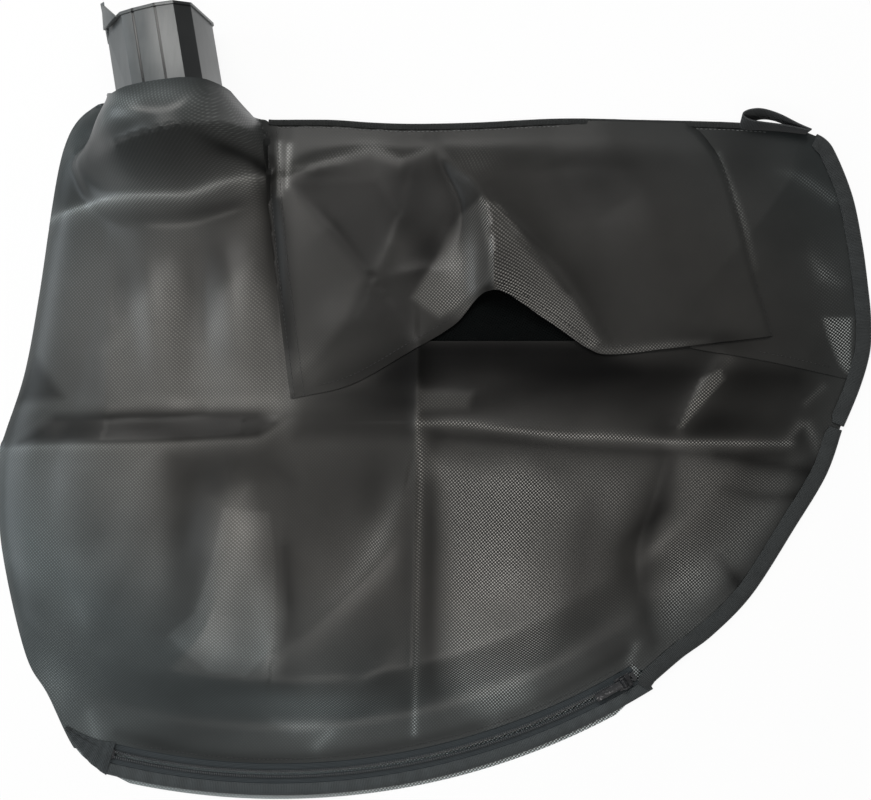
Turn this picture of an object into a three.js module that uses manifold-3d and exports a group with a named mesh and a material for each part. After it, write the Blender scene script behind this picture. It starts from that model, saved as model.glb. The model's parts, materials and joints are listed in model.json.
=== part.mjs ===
// Collection bag of a leaf vacuum, lying flat on its back panel with its moulded neck at the top left.
// Millimetres, +Z up. X runs along the bag's width and Y towards the neck's end of it.
import * as THREE from "three";
import { mergeVertices } from "three/addons/utils/BufferGeometryUtils.js";
import Module from "manifold-3d";

const wasm = await Module();
wasm.setup();

// Driving dimensions: cloth
const CLOTH = 0.8; // coated woven cloth
const CLEARANCE = 0.3; // between pieces that lie on each other
const LAYER = CLOTH + CLEARANCE;
const FINE_STEP = 14; // lattice of the cloth sheets near the neck
const COARSE_STEP = 26; // lattice of the cloth sheets elsewhere
const OUTLINE_STEP = 15; // along curved edges

// Driving dimensions: moulded neck
const NECK_WIDTH = 75;
const NECK_HEIGHT = 66;
const NECK_LENGTH = 85;
const NECK_WALL = 3;
const GROOVED_CORNERS = [[0.1, 1], [-0.34, 0.967]]; // the corners on top that have a groove along them
const LATCH_CORNER = [-1, 0.63];
const NECK_CORNERS = [
  // faceted section, anticlockwise from the floor: shares of its half width and its height
  [-0.43, 0], [0.43, 0], [0.77, 0.075], [0.97, 0.26], [0.74, 0.85], [0.45, 0.98],
  ...GROOVED_CORNERS, [-0.575, 0.933], LATCH_CORNER, [-1, 0.36], [-0.8, 0.12],
];
const RIM_BEAD = 1.2;
const RIM_BEAD_LENGTH = 2.2;
const FLANGE = 3; // rib inside the bag that holds the cloth
const FLANGE_LENGTH = 4;
const GROOVE_WIDTH = 1.4;
const GROOVE_DEPTH = 0.9;
const GROOVE_LENGTH = 50;
const LATCH_HEIGHT = 12;
const LATCH_LENGTH = 11;
const LATCH_THICKNESS = 4;
const LATCH_TIP = 2; // its length at the top
const LATCH_SPLAY = 0.6; // radians that it leans to the left
const LATCH_ROOT = 2; // how far it starts inside the wall
const NECK_LEAN = THREE.MathUtils.degToRad(10.4);
const NECK_PITCH = THREE.MathUtils.degToRad(8);
const NECK_PLACE = new THREE.Vector2(-202.4, 272.7); // middle of the rim's lowest edge
const HEM_AT = 54; // from the rim to the cloth's hem, along the neck
const HEM_BAND = 20; // length of the cloth's channel round the neck
const HEM_THICKNESS = 1.3;
const HEM_SINK = 0.35; // how far the panels run into the channel's wall

// Driving dimensions: zip
const ZIP_CENTRE = new THREE.Vector2(-119, 241);
const ZIP_RADIUS = 524;
const ZIP_START = THREE.MathUtils.degToRad(-104); // open end, at the left
const ZIP_END = THREE.MathUtils.degToRad(-59); // closed end, at the right
const ZIP_TAPE_WIDTH = 13;
const ZIP_TAPE_THICKNESS = 0.6;
const COIL_WIDTH = 2.6;
const COIL_HEIGHT = 2;
const COIL_GAP = 1.6; // between the two halves
const COIL_OVER_TAPE = 0.4; // how far each half stands past its tape's edge
const ZIP_HEM_AT = 8; // from the zip's middle to the front panel's hem
const ZIP_BAND_WIDTH = 8.5; // of the ribbed band over the outer tape's edge
const BACK_PAST_ZIP = 20; // from the zip's middle to the back panel's edge
const BACK_CORNER_LEFT = THREE.MathUtils.degToRad(2); // where that edge leaves the zip's arc
const BACK_CORNER_RIGHT = THREE.MathUtils.degToRad(2.9);
const STOP_LENGTH = 3;
const ZIP_STEPS = 24; // straight stretches in the whole arc
const ZIP_END_MARGIN = THREE.MathUtils.degToRad(0.4); // cloth past the closed end
const SLIDER_LENGTH = 12;
const SLIDER_WIDTH = 10;
const SLIDER_PLATE = 1;
const SLIDER_WALL = 0.7;
const SLIDER_REST_GAP = 1; // to the stop at the closed end
const SLIDER_POST = 0.9; // between the coil halves
const PULL_LENGTH = 24;
const PULL_WIDTH = 6;
const PULL_THICKNESS = 1.6;
const PULL_PIN = 2; // diameter of the pull's hinge bar
const PULL_RING = 1; // wall of the pull's eye
const PULL_CHEEK = 1.4; // thickness of each cheek that carries it

// Driving dimensions: bindings, flap, vent and loop
const BINDING_WIDTH = 12; // ribbed tape folded round the right edges
const TOP_BINDING_WIDTH = 8; // narrower tape along the top seam
const BINDING_LIP = 0.8;
const EDGE_INSET = 2; // from the tape's outer fold to the cloth edges inside it
const HEM_OVERLAP = 8; // of the front panel's top hem over the vent
const VENT_GAP = new THREE.Vector2(44, 42); // one opening in the vent
const VENT_BAR = 14;
const TENT_HEIGHT = 26; // of the fold that stands up in the flap
const LOOP_WIDTH = 16; // of the webbing, which stands on edge
const LOOP_THICKNESS = 1.2;
const LOOP_TAIL = 13; // length where its two ends lie together
const LOOP_STEPS = 36;
const LOOP_PLAN = [[281, 202], [272, 209], [246, 221], [233, 217], [231, 211], [240, 206], [262, 204]];

// Driving dimensions: how full the cloth lies
const DOME_HEIGHT = 17;
const DOME_REACH = 45; // from a plain edge to most of that height
const BOUND_RISE_AT = 24; // from a bound edge to where the cloth starts to rise
const CREASE_FADE = 25; // how far a crease runs on past its ends
const HUMP_LEFT = 90; // half width of the cloth's arch over the neck, to its left
const HUMP_RIGHT = 58;
const HUMP_SLOPE = 58; // length in which the arch falls behind the neck
const HUMP_TOP = 90; // underside of the cloth over the neck's inner end
const HUMP_THROAT = 78; // and over its hem
const THROAT_EASE = 4; // how much wider than the channel the arch starts
const THROAT_POWER = 4.5; // how square the arch is at the throat
const HUMP_POWER = 2.4; // and over the neck's inner end
const ZIP_EASE = 30; // from the zip's hem to where the front comes down to its seams' height
const SEAM_EASE = 30; // from a seam to where creases reach their full height
const FLAP_EASE = 40; // and from the flap's seams

// Hand-drawn outline of the bag, seen from above, clockwise from the throat
const LEFT_EDGE = [
  [-250, 224], [-262, 219], [-271, 211], [-278, 199], [-284, 180], [-290, 147], [-300, 79], [-311, 20],
  [-326, -26], [-330, -42], [-329, -107], [-311, -191], [-294, -223], [-272, -266], [-250, -282],
];
const RIGHT_LOWER_EDGE = [
  [166, -213], [187, -195], [210, -178], [240, -147], [272, -97], [296, -57], [308, -23],
];
const RIGHT_UPPER_EDGE = [
  [321, 8], [329, 36], [330, 60], [327, 91], [323, 120], [316, 154], [304, 185], [295, 198], [278, 206],
];
const TOP_EDGE = [
  [228, 210], [155, 212], [95, 213], [31, 210], [-16, 209], [-49, 210], [-80, 212], [-126, 212],
];
const THROAT_RIGHT = [[-134, 212], [-139, 213.5], [-148, 222]];
const FLAP_LEFT_SEAM = [[-131.5, 212], [-122, 110], [-108, 1]];
const FLAP_HEM = [
  [-98, 3], [-62, 12], [-19, 36], [14, 56], [41, 81], [81, 60],
  [114, 38], [132, 34], [170, 38], [201, 37], [249, 30], [312, 17],
];
const VENT_LEFT_SEAM = -112;
const VENT_HEM = 44;

// Creases of the front: ends, height, and how wide they are to the left and the right of their run
const FRONT_CREASES = [
  { from: [-13, 42], to: [-19, -258], height: 3.5, left: 9, right: 14 },
  { from: [-331, -36], to: [-126, -28], height: 5, left: 16, right: 24 },
  { from: [-12, -17], to: [269, -28], height: 3.5, left: 14, right: 20 },
  { from: [-124, 160], to: [-110, 10], height: -5, left: 5, right: 10 },
  { from: [-207, 105], to: [-209, 12], height: 5, left: 15, right: 15 },
  { from: [-145, 112], to: [-146, 8], height: 6.5, left: 16, right: 16 },
  { from: [-270, -12], to: [-160, -12], height: -3.5, left: 10, right: 10 },
  { from: [-200, -60], to: [-182, -125], height: -4, left: 18, right: 18 },
  { from: [-152, -72], to: [-176, -172], height: 5.5, left: 16, right: 24 },
  { from: [-30, -90], to: [-85, -165], height: 3.5, left: 12, right: 22 },
  { from: [40, -80], to: [76, -160], height: 4.5, left: 36, right: 36 },
  { from: [171, -50], to: [152, -140], height: -3.5, left: 12, right: 10 },
  { from: [205, -85], to: [240, -115], height: 4, left: 24, right: 24 },
  { from: [-289, 143], to: [-128, 174], height: 5.5, left: 9, right: 22 },
];
const FLAP_CREASES = [
  { from: [2, 196], to: [41, 82], height: TENT_HEIGHT, left: 40, right: 10 },
  { from: [-103, 180], to: [0, 188], height: 5, left: 9, right: 14 },
  { from: [-112, 135], to: [-76, 88], height: 4, left: 12, right: 12 },
  { from: [-32, 128], to: [-46, 92], height: 4, left: 10, right: 14 },
  { from: [10, 185], to: [110, 66], height: 5, left: 12, right: 20 },
  { from: [120, 190], to: [190, 90], height: 3, left: 36, right: 36 },
];

// Colours and finishes
const CLOTH_FINISH = { color: 0x34353a, roughness: 0.62, metalness: 0 };
const FLAP_FINISH = { color: 0x303134, roughness: 0.62, metalness: 0 };
const MESH_FINISH = { color: 0x101213, roughness: 0.85, metalness: 0 };
const TAPE_FINISH = { color: 0x2c2e31, roughness: 0.85, metalness: 0 };
const PLASTIC_FINISH = { color: 0x4c4e4d, roughness: 0.38, metalness: 0 };
const COIL_FINISH = { color: 0x26282a, roughness: 0.5, metalness: 0 };
const METAL_FINISH = { color: 0x3a3b3c, roughness: 0.4, metalness: 0.8 };

// Solids

// A closed geometry as a manifold solid.
function solidOf(geometry) {
  const bare = new THREE.BufferGeometry().setAttribute("position", geometry.getAttribute("position"));
  if (geometry.index) bare.setIndex(geometry.index);
  const merged = mergeVertices(bare, 1e-4);
  return new wasm.Manifold(
    new wasm.Mesh({
      numProp: 3,
      vertProperties: new Float32Array(merged.attributes.position.array),
      triVerts: new Uint32Array(merged.index.array),
    }),
  );
}

// A manifold solid as a geometry with flat faces.
function geometryOf(solid) {
  const mesh = solid.getMesh();
  const places = new Float32Array(mesh.numVert * 3);
  for (let i = 0; i < mesh.numVert; i++) {
    places.set(mesh.vertProperties.subarray(i * mesh.numProp, i * mesh.numProp + 3), i * 3);
  }
  const indexed = new THREE.BufferGeometry()
    .setAttribute("position", new THREE.BufferAttribute(places, 3))
    .setIndex(new THREE.BufferAttribute(mesh.triVerts, 1));
  const flat = indexed.toNonIndexed();
  flat.computeVertexNormals();
  return flat;
}

// The largest single body of a solid, without the slivers that a cut can leave.
function mainBody(solid) {
  return solid.decompose().reduce((best, body) => (body.volume() > best.volume() ? body : best));
}

// An outline extruded straight up between two heights.
function prism(outline, low, high) {
  const shape = outline.isShape ? outline : new THREE.Shape(outline);
  const geometry = new THREE.ExtrudeGeometry(shape, { depth: high - low, bevelEnabled: false });
  geometry.translate(0, 0, low);
  return solidOf(geometry);
}

// Plan curves
const PAST = 1; // how far a cut runs past what it cuts
const SPAN_LOW = -20;
const SPAN_HIGH = 140;
const plan = (points) => points.map(([x, y]) => new THREE.Vector2(x, y));

// A smooth curve through hand-set points, in even steps.
function smooth(points, step = OUTLINE_STEP) {
  const curve = new THREE.SplineCurve(points);
  return curve.getSpacedPoints(Math.max(2, Math.round(curve.getLength() / step)));
}

// Points on the zip's arc, at a distance outside its middle line.
function zipArc(outside, from, to, steps = ZIP_STEPS) {
  return Array.from({ length: steps + 1 }, (_, i) => {
    const angle = THREE.MathUtils.lerp(from, to, i / steps);
    return new THREE.Vector2(Math.cos(angle), Math.sin(angle))
      .multiplyScalar(ZIP_RADIUS + outside)
      .add(ZIP_CENTRE);
  });
}

// A path moved sideways in plan, to its left as it runs.
function offsetPath(path, distance) {
  return path.map((point, i) => {
    const before = path[Math.max(0, i - 1)];
    const after = path[Math.min(path.length - 1, i + 1)];
    const along = after.clone().sub(before).normalize();
    return new THREE.Vector2(-along.y, along.x).multiplyScalar(distance).add(point);
  });
}

// Shortest distance in plan from a point to a path.
function distanceTo(path, x, y) {
  let best = Infinity;
  for (let i = 0; i + 1 < path.length; i++) {
    const a = path[i];
    const dx = path[i + 1].x - a.x;
    const dy = path[i + 1].y - a.y;
    const reach = (x - a.x) * dx + (y - a.y) * dy;
    const share = THREE.MathUtils.clamp(reach / (dx * dx + dy * dy || 1), 0, 1);
    best = Math.min(best, Math.hypot(x - a.x - share * dx, y - a.y - share * dy));
  }
  return best;
}

// Neck frame: how far a plan point lies across the neck, and inwards from its rim
const neckAcross = new THREE.Vector2(Math.cos(NECK_LEAN), Math.sin(NECK_LEAN));
const neckInward = new THREE.Vector2(Math.sin(NECK_LEAN), -Math.cos(NECK_LEAN));
const fromNeck = (x, y) => {
  const offset = new THREE.Vector2(x, y).sub(NECK_PLACE);
  return { across: offset.dot(neckAcross), inward: offset.dot(neckInward) };
};
const throatPoint = (across, inward) =>
  NECK_PLACE.clone().addScaledVector(neckAcross, across).addScaledVector(neckInward, inward);
const throatHalf = NECK_WIDTH / 2 + CLEARANCE + HEM_THICKNESS;
const throatAt = HEM_AT * Math.cos(NECK_PITCH) - (NECK_HEIGHT / 2) * Math.sin(NECK_PITCH);

// Edges of the bag in plan, clockwise
const leftEdge = smooth([throatPoint(-throatHalf, throatAt), ...plan(LEFT_EDGE)]);
const zipEdge = zipArc(BACK_PAST_ZIP, ZIP_START + BACK_CORNER_LEFT, ZIP_END - BACK_CORNER_RIGHT);
const rightLowerEdge = smooth(plan(RIGHT_LOWER_EDGE));
const rightUpperEdge = smooth([rightLowerEdge.at(-1), ...plan(RIGHT_UPPER_EDGE)]).slice(1);
const topEdge = smooth([rightUpperEdge.at(-1), ...plan(TOP_EDGE)]).slice(1);
const throatRight = [topEdge.at(-1), ...plan(THROAT_RIGHT), throatPoint(throatHalf, throatAt)];
const throatEdge = smooth(throatRight).slice(1);
const boundEdges = [...rightLowerEdge, ...rightUpperEdge, ...topEdge];
const boundInset = offsetPath(boundEdges, EDGE_INSET);
const backOutline = [...leftEdge, ...zipEdge, ...boundInset, ...throatEdge];
const frontZipEdge = zipArc(-ZIP_HEM_AT, ZIP_START, ZIP_END + ZIP_END_MARGIN);
const frontOutline = [...leftEdge.slice(0, -2), ...frontZipEdge, ...boundInset, ...throatEdge];
const wholeOutline = [...leftEdge, ...zipEdge, ...boundEdges, ...throatEdge];
const plainEdges = [...leftEdge.slice(2), ...zipEdge];

// Heights of the cloth
const bend = (value, low, high) => THREE.MathUtils.smoothstep(value, low, high);
const neckFloor = (inward) => RIM_BEAD + inward * Math.tan(NECK_PITCH);

// Underside of the back panel: on the floor, and up under the neck.
function backHeight(x, y) {
  const { across, inward } = fromNeck(x, y);
  const held = THREE.MathUtils.clamp(inward, 0, HEM_AT + HEM_BAND / 2);
  const under = neckFloor(held) - CLEARANCE - HEM_THICKNESS;
  const trough = 1 - bend(Math.abs(across), NECK_WIDTH / 2, NECK_WIDTH);
  return (under - HEM_SINK) * (1 - bend(inward, NECK_LENGTH, 2 * NECK_LENGTH)) * trough;
}

// One crease: full height on its run, fading to both sides and past its ends.
function crease({ from, to, height, left, right }, x, y) {
  const dx = to[0] - from[0];
  const dy = to[1] - from[1];
  const length = Math.hypot(dx, dy);
  const along = ((x - from[0]) * dx + (y - from[1]) * dy) / length;
  const aside = ((y - from[1]) * dx - (x - from[0]) * dy) / length;
  const past = Math.max(0, -along, along - length);
  return height * Math.exp(-Math.abs(aside) / (aside > 0 ? left : right)) * Math.exp(-past / CREASE_FADE);
}

// Rise of the cloth over the neck and down behind it, as a rounded arch.
function humpHeight(x, y) {
  const { across, inward } = fromNeck(x, y);
  const open = bend(inward, throatAt, NECK_LENGTH);
  const half = THREE.MathUtils.lerp(throatHalf + THROAT_EASE, across < 0 ? HUMP_LEFT : HUMP_RIGHT, open);
  const power = THREE.MathUtils.lerp(THROAT_POWER, HUMP_POWER, open);
  const inner = NECK_LENGTH - 2 * FLANGE_LENGTH;
  const top = THREE.MathUtils.lerp(HUMP_THROAT, HUMP_TOP, bend(inward, HEM_AT - 2 * FLANGE_LENGTH, inner));
  const fall = 1 - bend(inward, inner, inner + HUMP_SLOPE);
  const share = Math.min(1, Math.abs(across) / half);
  return top * fall * (1 - share ** power) ** (1 / power);
}

// How far the front stands above the back: fullness, hump and creases.
function fullness(x, y) {
  const inPlain = distanceTo(plainEdges, x, y);
  const inBound = Math.max(0, distanceTo(boundEdges, x, y) - BOUND_RISE_AT);
  const dome = DOME_HEIGHT * (1 - Math.exp(-inPlain / DOME_REACH)) * (1 - Math.exp(-inBound / DOME_REACH));
  const creases = FRONT_CREASES.reduce((sum, one) => sum + crease(one, x, y), 0);
  const edgeShare = bend(Math.min(inPlain, 2 * inBound), 0, SEAM_EASE);
  return Math.max(humpHeight(x, y), dome + creases * edgeShare, 0);
}

// Underside of the front panel: two layers over the back, and higher where it lies on the zip.
const zipLevel = CLOTH + CLEARANCE + SLIDER_PLATE + CLEARANCE;
const onTape = zipLevel + ZIP_TAPE_THICKNESS + CLEARANCE;
function frontHeight(x, y) {
  const nearZip = 1 - bend(distanceTo(frontZipEdge, x, y), ZIP_EASE, 2 * ZIP_EASE);
  const seam = THREE.MathUtils.lerp(2 * LAYER, Math.max(onTape, 2 * LAYER), nearZip);
  const flatFrom = ZIP_RADIUS - ZIP_HEM_AT - BOUND_RISE_AT;
  const past = Math.hypot(x - ZIP_CENTRE.x, y - ZIP_CENTRE.y) - flatFrom;
  return backHeight(x, y) + seam + fullness(x, y) * (1 - bend(past, -BOUND_RISE_AT, 0));
}
const ventHeight = (x, y) => frontHeight(x, y) - LAYER;

// Underside of the dust flap: a layer above the front, with the fold that stands up in it.
const flapLeft = smooth(plan(FLAP_LEFT_SEAM));
const flapHem = smooth(plan(FLAP_HEM));
function flapHeight(x, y) {
  const lift = FLAP_CREASES.reduce((sum, one) => sum + crease(one, x, y), 0);
  const inBound = distanceTo(boundEdges, x, y) - BOUND_RISE_AT / 2;
  const eased = bend(inBound, 0, SEAM_EASE) * bend(distanceTo(flapLeft, x, y), FLAP_EASE / 10, FLAP_EASE);
  return frontHeight(x, y) + LAYER + lift * eased;
}

// Cloth sheets on one shared lattice
const FINE_UP_TO_X = -112;
const FINE_FROM_Y = 112;
const BACK_FLAT_FROM_X = -80;
const BACK_FLAT_BELOW_Y = 60;
const evenLines = (from, to, step) => {
  const count = Math.ceil((to - from) / step);
  return Array.from({ length: count }, (_, i) => from + (i * (to - from)) / count);
};
const box = new THREE.Box2().setFromPoints(wholeOutline).expandByScalar(COARSE_STEP / 2);
const latticeX = [
  ...evenLines(box.min.x, FINE_UP_TO_X, FINE_STEP),
  ...evenLines(FINE_UP_TO_X, box.max.x, COARSE_STEP),
  box.max.x,
];
const latticeY = [
  ...evenLines(box.min.y, FINE_FROM_Y, COARSE_STEP),
  ...evenLines(FINE_FROM_Y, box.max.y, FINE_STEP),
  box.max.y,
];

// A sheet between two surfaces that share a height function, as one closed solid over the lattice.
function sheet(height, from = 0, to = CLOTH, linesX = latticeX, linesY = latticeY) {
  const across = linesX.length;
  const count = across * linesY.length;
  const places = [];
  for (const lift of [from, to]) {
    for (const y of linesY) {
      for (const x of linesX) places.push(x, y, height(x, y) + lift);
    }
  }
  const faces = [];
  const quad = (a, b, c, d) => faces.push(a, b, c, a, c, d);
  for (let j = 0; j + 1 < linesY.length; j++) {
    for (let i = 0; i + 1 < across; i++) {
      const a = j * across + i;
      const [b, c, d] = [a + 1, a + across + 1, a + across];
      faces.push(a, c, b, a, d, c);
      quad(a + count, b + count, c + count, d + count);
    }
  }
  const lastRow = (linesY.length - 1) * across;
  for (let i = 0; i + 1 < across; i++) {
    quad(i, i + 1, i + 1 + count, i + count);
    quad(lastRow + i + 1, lastRow + i, lastRow + i + count, lastRow + i + 1 + count);
  }
  for (let j = 0; j + 1 < linesY.length; j++) {
    const near = j * across;
    const far = near + across - 1;
    quad(near + across, near, near + count, near + across + count);
    quad(far, far + across, far + across + count, far + count);
  }
  const geometry = new THREE.BufferGeometry();
  geometry.setAttribute("position", new THREE.Float32BufferAttribute(places, 3));
  geometry.setIndex(faces);
  return solidOf(geometry);
}
// The back panel is flat away from the neck, where it needs no lattice lines.
const backX = [...latticeX.filter((x) => x < BACK_FLAT_FROM_X), box.max.x];
const backY = [box.min.y, ...latticeY.filter((y) => y > BACK_FLAT_BELOW_Y)];
const backSheet = (from, to) => sheet(backHeight, from, to, backX, backY);
const swollen = (height) => sheet(height, -CLEARANCE, CLOTH + CLEARANCE);

// Neck
const neckPose = new THREE.Matrix4().compose(
  new THREE.Vector3(NECK_PLACE.x, NECK_PLACE.y, RIM_BEAD * Math.cos(NECK_PITCH)),
  new THREE.Quaternion().setFromEuler(new THREE.Euler(-NECK_PITCH, 0, NECK_LEAN, "ZYX")),
  new THREE.Vector3(1, 1, 1),
);

const cornerPoint = ([x, y]) => new THREE.Vector2((x * NECK_WIDTH) / 2, y * NECK_HEIGHT);

// The neck's faceted section, grown outwards by a margin: X across and Y up from its floor.
function neckSection(margin) {
  const corners = NECK_CORNERS.map(cornerPoint);
  const outward = (from, to) => new THREE.Vector2(to.y - from.y, from.x - to.x).normalize();
  return corners.map((corner, i) => {
    const before = outward(corners.at(i - 1), corner);
    const after = outward(corner, corners[(i + 1) % corners.length]);
    const miter = before.clone().add(after).divideScalar(1 + before.dot(after));
    return miter.multiplyScalar(margin).add(corner);
  });
}

// That section run along the neck between two distances from its rim.
function neckRun(margin, from, to) {
  const section = new THREE.Shape(neckSection(margin));
  const geometry = new THREE.ExtrudeGeometry(section, { depth: to - from, bevelEnabled: false });
  geometry.rotateX(Math.PI / 2).translate(0, -from, 0);
  return solidOf(geometry);
}

function placedBox(width, length, height, x, y, z) {
  return solidOf(new THREE.BoxGeometry(width, length, height).translate(x, y, z));
}

function neckSolid() {
  const bore = neckRun(-NECK_WALL, -PAST, NECK_LENGTH + PAST);
  let solid = neckRun(0, 0, NECK_LENGTH)
    .add(neckRun(RIM_BEAD, 0, RIM_BEAD_LENGTH))
    .add(neckRun(FLANGE, NECK_LENGTH - FLANGE_LENGTH, NECK_LENGTH));
  for (const corner of GROOVED_CORNERS) {
    const { x, y } = cornerPoint(corner);
    const groove = placedBox(
      GROOVE_WIDTH, GROOVE_LENGTH, 2 * GROOVE_DEPTH, x, -RIM_BEAD_LENGTH - GROOVE_LENGTH / 2, y,
    );
    solid = solid.subtract(groove);
  }
  const fin = new THREE.Shape([
    new THREE.Vector2(0, 0),
    new THREE.Vector2(LATCH_LENGTH, 0),
    new THREE.Vector2(LATCH_TIP, LATCH_HEIGHT),
    new THREE.Vector2(0, LATCH_HEIGHT),
  ]);
  const finGeometry = new THREE.ExtrudeGeometry(fin, { depth: LATCH_THICKNESS, bevelEnabled: false });
  // the fin stands out of the left shoulder: its run goes inwards and its height up and to the left
  const root = cornerPoint(LATCH_CORNER);
  finGeometry.rotateX(Math.PI / 2).rotateZ(-Math.PI / 2).rotateY(-LATCH_SPLAY);
  finGeometry.translate(root.x + LATCH_ROOT, 0, root.y - LATCH_ROOT);
  return solid.add(solidOf(finGeometry)).subtract(bore);
}

// The cloth's channel round the neck, its upper or its lower half.
function hemBand(upper) {
  const ring = neckRun(CLEARANCE + HEM_THICKNESS, HEM_AT, HEM_AT + HEM_BAND)
    .subtract(neckRun(CLEARANCE, HEM_AT - PAST, HEM_AT + HEM_BAND + PAST));
  const reach = NECK_WIDTH + NECK_HEIGHT;
  const middle = NECK_HEIGHT / 2;
  const side = upper ? 1 : -1;
  const half = placedBox(
    2 * reach, 2 * reach, reach,
    0, -NECK_LENGTH / 2, middle + side * (reach / 2 + CLEARANCE / 2),
  );
  return ring.intersect(half).transform(neckPose.elements);
}

// Panels
const neckEnvelope = neckRun(CLEARANCE, -NECK_LENGTH, NECK_LENGTH)
  .add(neckRun(FLANGE + CLEARANCE, NECK_LENGTH - FLANGE_LENGTH - CLEARANCE, NECK_LENGTH + CLEARANCE))
  .transform(neckPose.elements);

const backArea = prism(backOutline, SPAN_LOW, SPAN_HIGH);
const frontArea = prism(frontOutline, SPAN_LOW, SPAN_HIGH);
// The upper right region beyond the vent's seam and hem, widened by an overlap.
function ventCorner(overlap) {
  const [left, low] = [VENT_LEFT_SEAM - overlap, VENT_HEM - overlap];
  const [right, high] = [box.max.x, box.max.y];
  return prism(plan([[left, low], [right, low], [right, high], [left, high]]), SPAN_LOW, SPAN_HIGH);
}
const ventWindow = ventCorner(0);
const ventArea = ventCorner(HEM_OVERLAP);
const flapBound = boundInset.filter(({ x, y }) => y > FLAP_HEM.at(-1)[1] && x > FLAP_LEFT_SEAM[0][0] + PAST);
const flapArea = prism([...flapHem, ...flapBound, ...flapLeft], SPAN_LOW, SPAN_HIGH);

const backPanel = mainBody(backSheet().intersect(backArea).subtract(neckEnvelope).add(hemBand(false)));
const wholeFront = sheet(frontHeight).intersect(frontArea).subtract(neckEnvelope);
const frontPanel = mainBody(wholeFront.add(hemBand(true)).subtract(ventWindow));

// Whether a plan point lies inside an outline.
function contains(outline, x, y) {
  let inside = false;
  outline.forEach((a, i) => {
    const b = outline[(i + 1) % outline.length];
    if (a.y > y !== b.y > y && x < a.x + ((y - a.y) * (b.x - a.x)) / (b.y - a.y)) inside = !inside;
  });
  return inside;
}

function ventSolid() {
  let solid = sheet(ventHeight).intersect(frontArea).intersect(ventArea);
  const inset = BINDING_WIDTH + VENT_BAR;
  const low = new THREE.Vector2(VENT_LEFT_SEAM + VENT_BAR, VENT_HEM + VENT_BAR);
  const pitch = VENT_GAP.clone().addScalar(VENT_BAR);
  for (let x = low.x; x + VENT_GAP.x < box.max.x; x += pitch.x) {
    for (let y = low.y; y + VENT_GAP.y < box.max.y; y += pitch.y) {
      const [right, high] = [x + VENT_GAP.x, y + VENT_GAP.y];
      const corners = [[x, y], [right, y], [right, high], [x, high]];
      const fits = (corner) => contains(frontOutline, ...corner) && distanceTo(boundEdges, ...corner) > inset;
      if (corners.every(fits)) solid = solid.subtract(prism(plan(corners), SPAN_LOW, SPAN_HIGH));
    }
  }
  return mainBody(solid);
}
const ventMesh = ventSolid();
const dustFlap = mainBody(sheet(flapHeight).intersect(flapArea));

// Bindings

// A bar along a plan path: from its inner to its outer edge, and from the floor to a height above it.
function bar(path, inner, outer, low, high) {
  const inside = offsetPath(path, inner);
  const outside = offsetPath(path, -outer);
  const places = [];
  path.forEach((_, i) => {
    const [a, b] = [inside[i], outside[i]];
    places.push(a.x, a.y, low(a.x, a.y), b.x, b.y, low(b.x, b.y));
    places.push(b.x, b.y, high(b.x, b.y), a.x, a.y, high(a.x, a.y));
  });
  const faces = [];
  const quad = (a, b, c, d) => faces.push(a, b, c, a, c, d);
  for (let i = 0; i + 1 < path.length; i++) {
    for (let k = 0; k < 4; k++) {
      const next = (k + 1) % 4;
      quad(4 * i + k, 4 * i + next, 4 * i + 4 + next, 4 * i + 4 + k);
    }
  }
  const end = 4 * (path.length - 1);
  quad(0, 3, 2, 1);
  quad(end, end + 1, end + 2, end + 3);
  const geometry = new THREE.BufferGeometry();
  geometry.setAttribute("position", new THREE.Float32BufferAttribute(places, 3));
  geometry.setIndex(faces);
  const solid = solidOf(geometry);
  return solid.volume() > 0 ? solid : solidOf(flipped(geometry));
}

function flipped(geometry) {
  const index = geometry.index.array;
  const turned = [];
  for (let i = 0; i < index.length; i += 3) turned.push(index[i], index[i + 2], index[i + 1]);
  const result = new THREE.BufferGeometry().setIndex(turned);
  return result.setAttribute("position", geometry.getAttribute("position"));
}

const cuts = {
  back: backSheet(-CLEARANCE, CLOTH + CLEARANCE).intersect(prism(backOutline, SPAN_LOW, SPAN_HIGH)),
  front: swollen(frontHeight).intersect(frontArea),
  vent: swollen(ventHeight).intersect(frontArea).intersect(ventArea),
  flap: swollen(flapHeight).intersect(flapArea),
};
const backLow = (x, y) => Math.max(0, backHeight(x, y) - CLEARANCE - BINDING_LIP);
const frontTop = (x, y) => frontHeight(x, y) + CLOTH + CLEARANCE + BINDING_LIP;
const flapTopHeight = (x, y) => flapHeight(x, y) + CLOTH + CLEARANCE + BINDING_LIP;

// Tape folded round the cloth edges: a bar with each layer's place cut out of it.
function binding(path, width, top, layers) {
  let solid = bar(path, width, 0, backLow, top);
  for (const layer of layers) solid = solid.subtract(cuts[layer]);
  return mainBody(solid);
}
// The runs stop a step short of each other, where the edge is tucked in.
const everyLayer = ["back", "front", "vent", "flap"];
const upperBinding = binding(rightUpperEdge.slice(1, -1), BINDING_WIDTH, flapTopHeight, everyLayer);
const lowerBinding = binding(rightLowerEdge.slice(0, -1), BINDING_WIDTH, frontTop, ["back", "front"]);
const topBinding = binding(topEdge.slice(0, -1), TOP_BINDING_WIDTH, flapTopHeight, everyLayer);

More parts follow.
